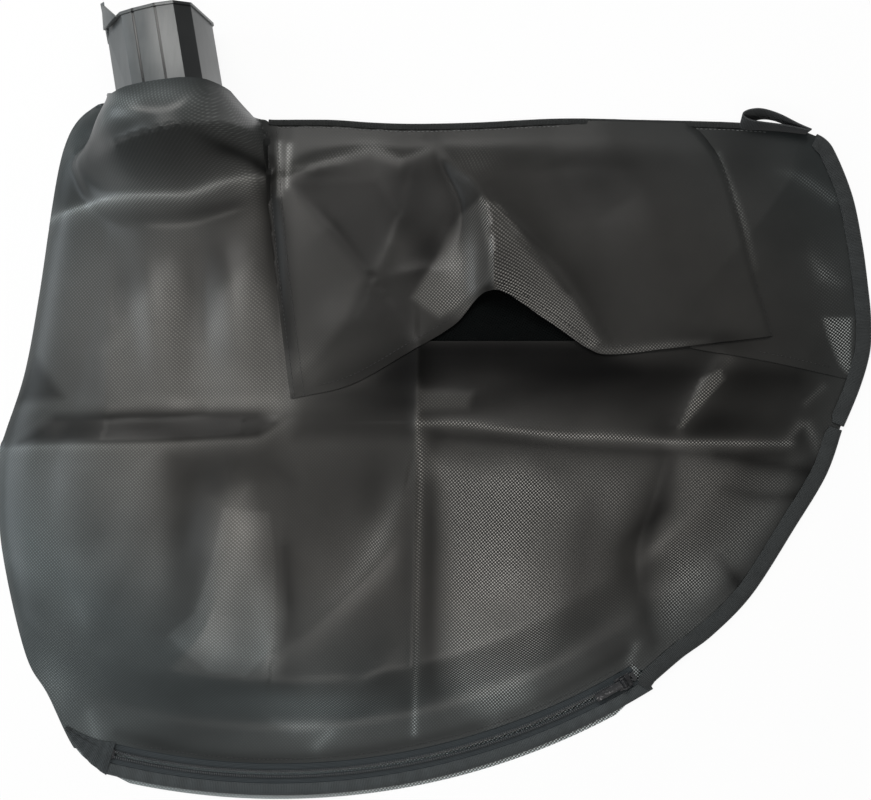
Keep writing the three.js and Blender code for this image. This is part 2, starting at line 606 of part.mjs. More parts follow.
// Zip
const flat = (height) => () => height;
function zipBar(inside, outside, low, high, from = ZIP_START, to = ZIP_END) {
  const steps = Math.max(2, Math.ceil((ZIP_STEPS * (to - from)) / (ZIP_END - ZIP_START)));
  return bar(zipArc(0, from, to, steps), -inside, outside, flat(low), flat(high));
}
const angleOf = (length) => length / ZIP_RADIUS;
const tapeTop = zipLevel + ZIP_TAPE_THICKNESS;
const coilLow = tapeTop + CLEARANCE;
const coilHigh = coilLow + COIL_HEIGHT;
const coilIn = COIL_GAP / 2;
const coilOut = coilIn + COIL_WIDTH;
const tapeIn = coilIn + COIL_OVER_TAPE;
const tapeOut = tapeIn + ZIP_TAPE_WIDTH;
const stopAngle = angleOf(STOP_LENGTH);
const sliderAngle = ZIP_END - stopAngle - angleOf(SLIDER_LENGTH / 2 + SLIDER_REST_GAP);
const coilFrom = ZIP_START + stopAngle + angleOf(CLEARANCE);
const coilTo = ZIP_END - stopAngle - angleOf(CLEARANCE);

const frontTape = zipBar(-tapeOut, -tapeIn, zipLevel, tapeTop);
const backTape = zipBar(tapeIn, tapeOut, zipLevel, tapeTop);
const frontCoil = zipBar(-coilOut, -coilIn, coilLow, coilHigh, coilFrom, coilTo);
const backCoil = zipBar(coilIn, coilOut, coilLow, coilHigh, coilFrom, coilTo);
const stop = (from) => zipBar(-coilOut, coilOut, coilLow, coilHigh, from, from + stopAngle);
const pastAngle = angleOf(PAST);
const tapeCut = zipBar(
  tapeIn - CLEARANCE, tapeOut + CLEARANCE, zipLevel - CLEARANCE, tapeTop + CLEARANCE,
  ZIP_START - pastAngle, ZIP_END + pastAngle,
);
const bandTop = tapeTop + CLEARANCE + BINDING_LIP;
const bandOut = tapeOut + EDGE_INSET;
const zipBand = mainBody(zipBar(bandOut - ZIP_BAND_WIDTH, bandOut, LAYER, bandTop).subtract(tapeCut));

// Slider: two plates joined by a post between the coil halves, with side walls and two cheeks for the pull
const sliderHigh = coilHigh + CLEARANCE;
const pullEye = PULL_PIN / 2 + CLEARANCE;
const pullRing = pullEye + PULL_RING;
const pullAxisHeight = sliderHigh + SLIDER_PLATE + CLEARANCE + pullRing;
const cheekAt = PULL_WIDTH / 2 + CLEARANCE + PULL_CHEEK / 2;
function sliderSolid() {
  const low = CLOTH + CLEARANCE;
  const wallLow = tapeTop + CLEARANCE;
  const wallHeight = sliderHigh - wallLow;
  const cheekHeight = pullAxisHeight + PULL_PIN - sliderHigh - SLIDER_PLATE / 2;
  const wallAt = coilOut + CLEARANCE + SLIDER_WALL / 2;
  const wallMiddle = wallLow + (wallHeight + SLIDER_PLATE / 2) / 2;
  const cheekMiddle = sliderHigh + SLIDER_PLATE / 2 + cheekHeight / 2;
  const postLength = SLIDER_LENGTH / 3;
  const postMiddle = (sliderHigh + low) / 2;
  const postAt = (SLIDER_LENGTH - postLength) / 2;
  let solid = placedBox(SLIDER_LENGTH, SLIDER_WIDTH, SLIDER_PLATE, 0, 0, low + SLIDER_PLATE / 2)
    .add(placedBox(SLIDER_LENGTH, SLIDER_WIDTH, SLIDER_PLATE, 0, 0, sliderHigh + SLIDER_PLATE / 2))
    .add(placedBox(postLength, SLIDER_POST, sliderHigh - low, postAt, 0, postMiddle));
  for (const side of [-1, 1]) {
    solid = solid
      .add(placedBox(SLIDER_LENGTH, SLIDER_WALL, wallHeight + SLIDER_PLATE / 2, 0, side * wallAt, wallMiddle))
      .add(placedBox(2 * PULL_PIN, PULL_CHEEK, cheekHeight, 0, side * cheekAt, cheekMiddle));
  }
  const pin = new THREE.CylinderGeometry(PULL_PIN / 2, PULL_PIN / 2, 2 * cheekAt, 16);
  return solid.add(solidOf(pin.translate(0, 0, pullAxisHeight)));
}

// Pull: a flat tab with an eye that goes round the slider's bar.
function pullSolid() {
  const ring = new THREE.Shape();
  ring.absarc(0, 0, pullRing, 0, 2 * Math.PI);
  ring.holes.push(new THREE.Path().absarc(0, 0, pullEye, 0, 2 * Math.PI));
  const settings = { depth: PULL_WIDTH, bevelEnabled: false, curveSegments: 10 };
  const ringGeometry = new THREE.ExtrudeGeometry(ring, settings);
  ringGeometry.translate(0, 0, -PULL_WIDTH / 2).rotateX(Math.PI / 2);
  const tabFrom = pullEye + PULL_RING / 2;
  const tab = placedBox(
    PULL_LENGTH - tabFrom, PULL_WIDTH, PULL_THICKNESS,
    -(PULL_LENGTH + tabFrom) / 2, 0, -pullRing + PULL_THICKNESS / 2,
  );
  return solidOf(ringGeometry).add(tab);
}

// Hang loop: webbing on edge, folded back on itself, seen from above as a slim teardrop
function loopShape() {
  const outer = new THREE.SplineCurve(plan([...LOOP_PLAN, LOOP_PLAN[0]])).getSpacedPoints(LOOP_STEPS);
  const inner = offsetPath(outer, LOOP_THICKNESS).filter(({ x }) => x < LOOP_PLAN[0][0] - LOOP_TAIL);
  outer.pop();
  const ring = new THREE.Shape(outer);
  ring.holes.push(new THREE.Path(inner));
  return ring;
}

// Scene graph
const bag = new THREE.Group();
function addMesh(name, geometry, finish, parent = bag) {
  const mesh = new THREE.Mesh(geometry, new THREE.MeshStandardMaterial(finish));
  mesh.name = name;
  parent.add(mesh);
  return mesh;
}

const neckGroup = new THREE.Group();
neckGroup.applyMatrix4(neckPose);
bag.add(neckGroup);
addMesh("neck_connector", geometryOf(neckSolid()), PLASTIC_FINISH, neckGroup);
addMesh("back_panel", geometryOf(backPanel), CLOTH_FINISH);
addMesh("front_panel", geometryOf(frontPanel), CLOTH_FINISH);
addMesh("vent_mesh", geometryOf(ventMesh), MESH_FINISH);
addMesh("dust_flap", geometryOf(dustFlap), FLAP_FINISH);
addMesh("side_binding_upper", geometryOf(upperBinding), TAPE_FINISH);
addMesh("side_binding_lower", geometryOf(lowerBinding), TAPE_FINISH);
addMesh("top_binding", geometryOf(topBinding), TAPE_FINISH);
addMesh("zip_tape_front", geometryOf(frontTape), TAPE_FINISH);
addMesh("zip_tape_back", geometryOf(backTape), TAPE_FINISH);
addMesh("zip_coil_front", geometryOf(frontCoil), COIL_FINISH);
addMesh("zip_coil_back", geometryOf(backCoil), COIL_FINISH);
addMesh("zip_stop_open_end", geometryOf(stop(ZIP_START)), METAL_FINISH);
addMesh("zip_stop_closed_end", geometryOf(stop(ZIP_END - stopAngle)), METAL_FINISH);
addMesh("zip_band", geometryOf(zipBand), TAPE_FINISH);

const sliderGroup = new THREE.Group();
const sliderPlace = zipArc(0, sliderAngle, sliderAngle, 1)[0];
sliderGroup.position.set(sliderPlace.x, sliderPlace.y, 0);
sliderGroup.rotation.z = sliderAngle + Math.PI / 2;
bag.add(sliderGroup);
addMesh("zip_slider", geometryOf(sliderSolid()), METAL_FINISH, sliderGroup);
const pull = addMesh("zip_pull", geometryOf(pullSolid()), METAL_FINISH, sliderGroup);
pull.position.z = pullAxisHeight;

const loopGeometry = new THREE.ExtrudeGeometry(loopShape(), { depth: LOOP_WIDTH, bevelEnabled: false });
loopGeometry.translate(0, 0, flapTopHeight(...TOP_EDGE[0]) + CLEARANCE);
addMesh("hang_loop", geometryOf(solidOf(loopGeometry)), TAPE_FINISH);

// The part stands on its origin: the middle of its box, on the floor
const bounds = new THREE.Box3().setFromObject(bag, true);
const middle = bounds.getCenter(new THREE.Vector3());
bag.position.set(-middle.x, -middle.y, -bounds.min.z);
const part = new THREE.Group();
part.add(bag);

export default part;
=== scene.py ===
"""Looks of a leaf vacuum collection bag lying flat: coated cloth, moulded neck, zip, bindings and loop."""
import json
import logging
import math
from dataclasses import dataclass, field
from enum import Enum
from typing import Callable, Sequence

import bmesh
import bpy
import numpy as np
from mathutils import Matrix, Vector


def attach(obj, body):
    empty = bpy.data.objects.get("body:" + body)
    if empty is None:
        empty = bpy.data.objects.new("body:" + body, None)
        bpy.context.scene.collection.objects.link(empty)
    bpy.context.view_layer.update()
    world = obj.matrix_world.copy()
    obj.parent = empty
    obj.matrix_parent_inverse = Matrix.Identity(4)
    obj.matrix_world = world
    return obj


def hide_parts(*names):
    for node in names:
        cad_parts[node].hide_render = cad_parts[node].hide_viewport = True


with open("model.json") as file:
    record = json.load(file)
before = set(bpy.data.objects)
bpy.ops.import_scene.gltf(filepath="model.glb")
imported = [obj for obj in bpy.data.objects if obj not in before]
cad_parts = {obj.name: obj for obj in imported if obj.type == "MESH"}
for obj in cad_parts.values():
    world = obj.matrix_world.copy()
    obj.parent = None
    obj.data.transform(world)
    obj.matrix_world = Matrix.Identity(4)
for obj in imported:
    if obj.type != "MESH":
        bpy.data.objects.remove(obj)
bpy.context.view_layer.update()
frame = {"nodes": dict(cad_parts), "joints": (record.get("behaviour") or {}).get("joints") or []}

log = logging.getLogger("collection_bag")

MM = 0.001
Array, Piece, Material = np.ndarray, bpy.types.Object, bpy.types.Material
Points = Sequence[tuple[float, float]]
Height = Callable[[Array, Array], Array]

# Sizes that the cloth, neck and zip share with the solids, in millimetres
CLOTH = 0.8
CLEARANCE = 0.3
LAYER = CLOTH + CLEARANCE
ZIP_CENTRE = (-119.0, 241.0)
ZIP_RADIUS = 524.0
ZIP_START, ZIP_END = math.radians(-104), math.radians(-59)
ZIP_HEM_AT = 8.0
BACK_PAST_ZIP = 20.0
NECK_WIDTH, NECK_HEIGHT, NECK_LENGTH = 75.0, 66.0, 85.0
NECK_LEAN, NECK_PITCH = math.radians(10.4), math.radians(8)
NECK_PLACE = (-202.4, 272.7)
RIM_BEAD = 1.2
HEM_AT = 54.0
HEM_BAND = 20.0
HEM_THICKNESS = 1.3
BINDING_WIDTH = 12.0
TOP_BINDING_WIDTH = 8.0
BINDING_LIP = 0.8
EDGE_INSET = 2.0
VENT_LEFT_SEAM, VENT_HEM = -112.0, 44.0
HEM_OVERLAP = 8.0

# Outline of the bag seen from above, anticlockwise from the throat, in millimetres
LEFT_EDGE = [
    (-250, 224), (-262, 219), (-271, 211), (-278, 199), (-284, 180), (-290, 147), (-300, 79), (-311, 20),
    (-326, -26), (-330, -42), (-329, -107), (-311, -191), (-294, -223), (-272, -266), (-250, -282),
]
RIGHT_LOWER_EDGE = [
    (166, -213), (187, -195), (210, -178), (240, -147), (272, -97), (296, -57), (308, -23),
]
RIGHT_UPPER_EDGE = [
    (321, 8), (329, 36), (330, 60), (327, 91), (323, 120), (316, 154), (304, 185), (295, 198), (278, 206),
]
TOP_EDGE = [
    (228, 210), (155, 212), (95, 213), (31, 210), (-16, 209), (-49, 210), (-80, 212), (-126, 212),
]
THROAT_RIGHT = [(-134, 212), (-139, 213.5), (-148, 222)]
FLAP_LEFT_SEAM = [(-131.5, 212), (-122, 110), (-108, 1)]
FLAP_HEM = [
    (-98, 3), (-62, 12), (-19, 36), (14, 56), (41, 81), (81, 60),
    (114, 38), (132, 34), (170, 38), (203, 42), (237, 46), (252, 48),
]
PLEAT_FOLD = [(252, 48), (249, 59), (235, 103), (228, 134), (216, 177), (204, 198), (193, 209)]
PLEAT_HEM = [(190, 39), (205, 36), (249, 29), (312, 16)]


def smooth(points: Points, step: float) -> Array:
    """A smooth curve through given points.

    Args:
        points: Plan points that the curve passes.
        step: Distance between the curve's even steps.

    Returns:
        The steps as rows of x and y.
    """
    knots = np.asarray(points, float)
    last = len(knots) - 1
    share = np.linspace(0, 1, 12, endpoint=False)[:, None]
    spans = []
    for i in range(last):
        before, a, b, after = knots[max(i - 1, 0)], knots[i], knots[i + 1], knots[min(i + 2, last)]
        start, end = (b - before) / 2, (after - a) / 2
        cubic = (2 * a - 2 * b + start + end) * share**3
        spans.append(cubic + (3 * b - 3 * a - 2 * start - end) * share**2 + start * share + a)
    return evenly(np.vstack([*spans, knots[-1:]]), step)


def evenly(path: Array, step: float) -> Array:
    """A path cut anew into even steps of about the given length."""
    run = run_of(path)
    count = max(2, round(run[-1] / step))
    at = np.linspace(0, run[-1], count + 1)
    return np.column_stack([np.interp(at, run, path[:, k]) for k in range(path.shape[1])])


def run_of(path: Array) -> Array:
    """Length run from a path's start to each of its points."""
    return np.concatenate([[0], np.cumsum(np.linalg.norm(np.diff(path, axis=0), axis=1))])


def aside(path: Array, distance: float | Array) -> Array:
    """A plan path moved sideways, to its left as it runs, by one distance or one for each point."""
    along = np.gradient(path[:, :2], axis=0)
    along /= np.linalg.norm(along, axis=1)[:, None]
    return path[:, :2] + np.reshape(distance, (-1, 1)) * np.column_stack([-along[:, 1], along[:, 0]])


def zip_arc(outside: float, start: float, end: float, step: float) -> Array:
    """Points on the zip's arc, at a distance outside its middle line."""
    radius = ZIP_RADIUS + outside
    angles = np.linspace(start, end, max(2, round(radius * (end - start) / step)) + 1)
    return np.column_stack([np.cos(angles), np.sin(angles)]) * radius + ZIP_CENTRE


def nearest(path: Array, x: Array, y: Array) -> tuple[Array, Array, Array]:
    """How points lie to a plan path.

    Args:
        path: The path's points.
        x: Plan places across.
        y: Plan places along.

    Returns:
        Distance to the path, side of it (above 0 to its left), and share of its length passed.
    """
    best = np.full(np.shape(x), np.inf)
    side, passed = np.zeros(np.shape(x)), np.zeros(np.shape(x))
    run = run_of(path)
    for i, (a, b) in enumerate(zip(path[:-1], path[1:])):
        dx, dy = b - a
        share = np.clip(((x - a[0]) * dx + (y - a[1]) * dy) / (dx * dx + dy * dy + 1e-12), 0, 1)
        off_x, off_y = x - a[0] - share * dx, y - a[1] - share * dy
        away = np.hypot(off_x, off_y)
        closer = away < best
        best = np.where(closer, away, best)
        side = np.where(closer, dx * off_y - dy * off_x, side)
        passed = np.where(closer, (run[i] + share * (run[i + 1] - run[i])) / run[-1], passed)
    return best, side, passed


def contains(outline: Array, x: Array, y: Array) -> Array:
    """Which points lie inside a closed outline."""
    inside = np.zeros(np.shape(x), bool)
    for a, b in zip(outline, np.roll(outline, -1, axis=0)):
        if a[1] != b[1]:
            crosses = ((a[1] > y) != (b[1] > y)) & (x < a[0] + (y - a[1]) * (b[0] - a[0]) / (b[1] - a[1]))
            inside ^= crosses
    return inside


def bend(value: Array, low: float, high: float) -> Array:
    """A soft step from 0 at low to 1 at high."""
    share = np.clip((value - low) / (high - low), 0, 1)
    return share * share * (3 - 2 * share)


@dataclass(frozen=True)
class Crest:
    """A fold that stands up from the cloth, or sinks into it, and fades to both sides of its run."""

    path: tuple
    height: tuple
    left: float
    right: float
    soft: float = 1.5

    def lift(self, x: Array, y: Array) -> Array:
        """Height that the fold adds at plan places."""
        away, side, passed = nearest(smooth(self.path, 8), x, y)
        width = np.where(side > 0, self.left, self.right)
        top = np.interp(passed, np.linspace(0, 1, len(self.height)), self.height)
        return top * np.exp(-(np.hypot(away, self.soft) - self.soft) / width)


@dataclass(frozen=True)
class Swell:
    """A broad soft rise or hollow of the cloth."""

    centre: tuple[float, float]
    long: float
    wide: float
    turn: float
    height: float

    def lift(self, x: Array, y: Array) -> Array:
        """Height that the swell adds at plan places."""
        angle = math.radians(self.turn)
        dx, dy = x - self.centre[0], y - self.centre[1]
        along = dx * math.cos(angle) + dy * math.sin(angle)
        across = dy * math.cos(angle) - dx * math.sin(angle)
        return self.height * np.exp(-((along / self.long) ** 2) - (across / self.wide) ** 2)


def swells(*rows: tuple) -> list[Swell]:
    """Swells that aren't turned, from rows of x, y, long, wide and height."""
    return [Swell((x, y), long, wide, 0, height) for x, y, long, wide, height in rows]


@dataclass(frozen=True)
class Facet:
    """A flat stretch of cloth between folds, with a soft border."""

    corners: tuple
    height: float
    soft: float = 8.0

    def lift(self, x: Array, y: Array) -> Array:
        """What the facet adds at plan places."""
        ring = np.asarray([*self.corners, self.corners[0]], float)
        away = nearest(ring, x, y)[0]
        inside = np.where(contains(ring[:-1], x, y), away, -away)
        return self.height * bend(inside, -self.soft / 2, self.soft / 2)


FRONT_FOLDS = [
    # the two fold lines that cross the bag, left from its storage
    Crest(((-13, 42), (-14, -30), (-17, -150), (-19, -258)), (3.5, 4.0, 3.5, 3.0), 9, 14, 0.6),
    Crest(((-331, -36), (-285, -31), (-209, -30), (-160, -27), (-130, -24), (-112, -8)),
          (1.5, 3.0, 3.0, 3.0, 2.5, 1.5), 20, 26, 0.8),
    Crest(((-12, -17), (26, -18), (95, -23), (140, -28), (200, -31), (269, -28)),
          (2.0, 2.5, 2.5, 2.5, 2.5, 2.0), 16, 20, 0.7),
    # groove beside the flap's seam
    Crest(((-128, 172), (-122, 130), (-115, 60), (-110, 10)), (-7.0, -6.0, -3.0, -1.5), 5, 10, 1.5),
    # upper left: two long lobes that run down to the fold line
    Swell((-207, 60), 62, 17, 96, 4.5),
    Swell((-145, 62), 66, 19, 93, 6.0),
    Swell((-178, 66), 60, 12, 90, -2.0),
    Crest(((-243, 55), (-246, -4)), (1.5, 2.5), 12, 20, 2.0),
    Swell((-215, -12), 80, 10, 2, -3.5),
    # lower left
    Swell((-262, -60), 40, 26, 60, 3.0),
    Swell((-190, -90), 46, 20, 75, -4.0),
    Crest(((-150, -62), (-158, -110), (-170, -165), (-196, -196)), (2.5, 5.5, 5.5, 2.0), 16, 24, 4.0),
    Crest(((-122, -130), (-124, -190)), (1.0, 2.0), 5, 18, 2.0),
    Crest(((-262, -228), (-259, -250)), (3.0, 2.5), 9, 6, 2.0),
    Swell((-70, -150), 60, 26, 65, -3.0),
    # between the middle and the vertical fold line
    Crest(((-24, -70), (-36, -112), (-70, -150), (-100, -178)), (3.0, 4.0, 3.0, 1.0), 10, 20, 3.0),
    Swell((-62, -232), 50, 12, 60, 3.0),
    # right of it
    Swell((58, -110), 74, 46, 70, 5.0),
    Swell((85, -196), 50, 26, 20, 3.0),
    Crest(((174, -38), (163, -76), (150, -122), (160, -166), (170, -184)),
          (-1.0, -3.5, -4.0, -3.5, -2.5), 14, 11, 3.0),
    Swell((222, -100), 56, 30, 60, 4.0),
    Crest(((228, -76), (280, -86)), (-2.0, -3.0), 8, 8, 2.0),
    Crest(((232, -128), (262, -140)), (-2.0, -2.5), 9, 8, 2.0),
    Swell((121, -192), 16, 12, 0, -2.5),
    Swell((156, -190), 14, 10, 0, -2.5),
    # above the right fold line
    Crest(((182, -20), (200, 8), (216, 30)), (3.0, 4.0, 2.5), 9, 11, 2.0),
    Crest(((268, -28), (282, -12)), (3.0, 3.5), 5, 8, 1.2),
    Crest(((276, 4), (296, 16)), (2.5, 2.5), 5, 6, 1.2),
    Swell((12, 2), 28, 8, 0, 1.0),
]

# Folds of the cloth where it comes down from the neck, with the ridge that crosses the slope
SLOPE_RIDGE = ((-291, 137), (-247, 148), (-203, 150), (-181, 151), (-154, 160))
SLOPE_FOLDS = [
    Crest((*SLOPE_RIDGE, (-130, 166)), (1.5, 4.5, 5.5, 6.0, 6.0, 3.0), 7, 24, 1.2),
    Crest(((-160, 178), (-141, 180), (-128, 174)), (-2.0, -6.0, -6.0), 6, 6, 1.5),
    Crest(((-272, 185), (-258, 178)), (2.5, 2.0), 5, 5, 1.5),
    Crest(((-250, 205), (-225, 180), (-214, 160)), (1.0, 2.0, 1.0), 9, 9, 2.0),
]

FLAP_FOLDS = [
    # the fold that stands up over the vent: two crests that meet in its peak
    Crest(((2, 194), (16, 176), (34, 153), (41, 118), (42, 86)), (4.0, 11.0, 19.0, 25.0, 27.0), 38, 9, 1.0),
    Crest(((34, 153), (65, 122), (97, 92), (118, 62)), (2.0, 6.0, 6.0, 2.0), 7, 24, 1.0),
    Crest(((-7, 199), (7, 172), (17, 138), (-4, 98)), (-2.0, -6.0, -7.0, -2.0), 8, 8, 1.2),
    # the left part: a band below the top seam, and a hollow with two arms
    Crest(((-108, 174), (-76, 183), (-48, 191), (-32, 186), (-26, 183), (-3, 191)),
          (4.0, 6.0, 7.0, 5.5, 6.0, 5.0), 8, 12, 1.0),
    Crest(((-108, 161), (-76, 126), (-52, 96)), (1.0, 3.0, 2.0), 7, 18, 2.5),
    Crest(((-29, 135), (-36, 112), (-42, 98)), (2.5, 3.0, 1.5), 14, 7, 2.5),
    Crest(((-36, 92), (-3, 99)), (0.5, 2.5), 5, 12, 2.5),
    Swell((-70, 50), 50, 24, 20, 3.0),
    # the right part
    Swell((140, 140), 70, 52, 60, 3.0),
]
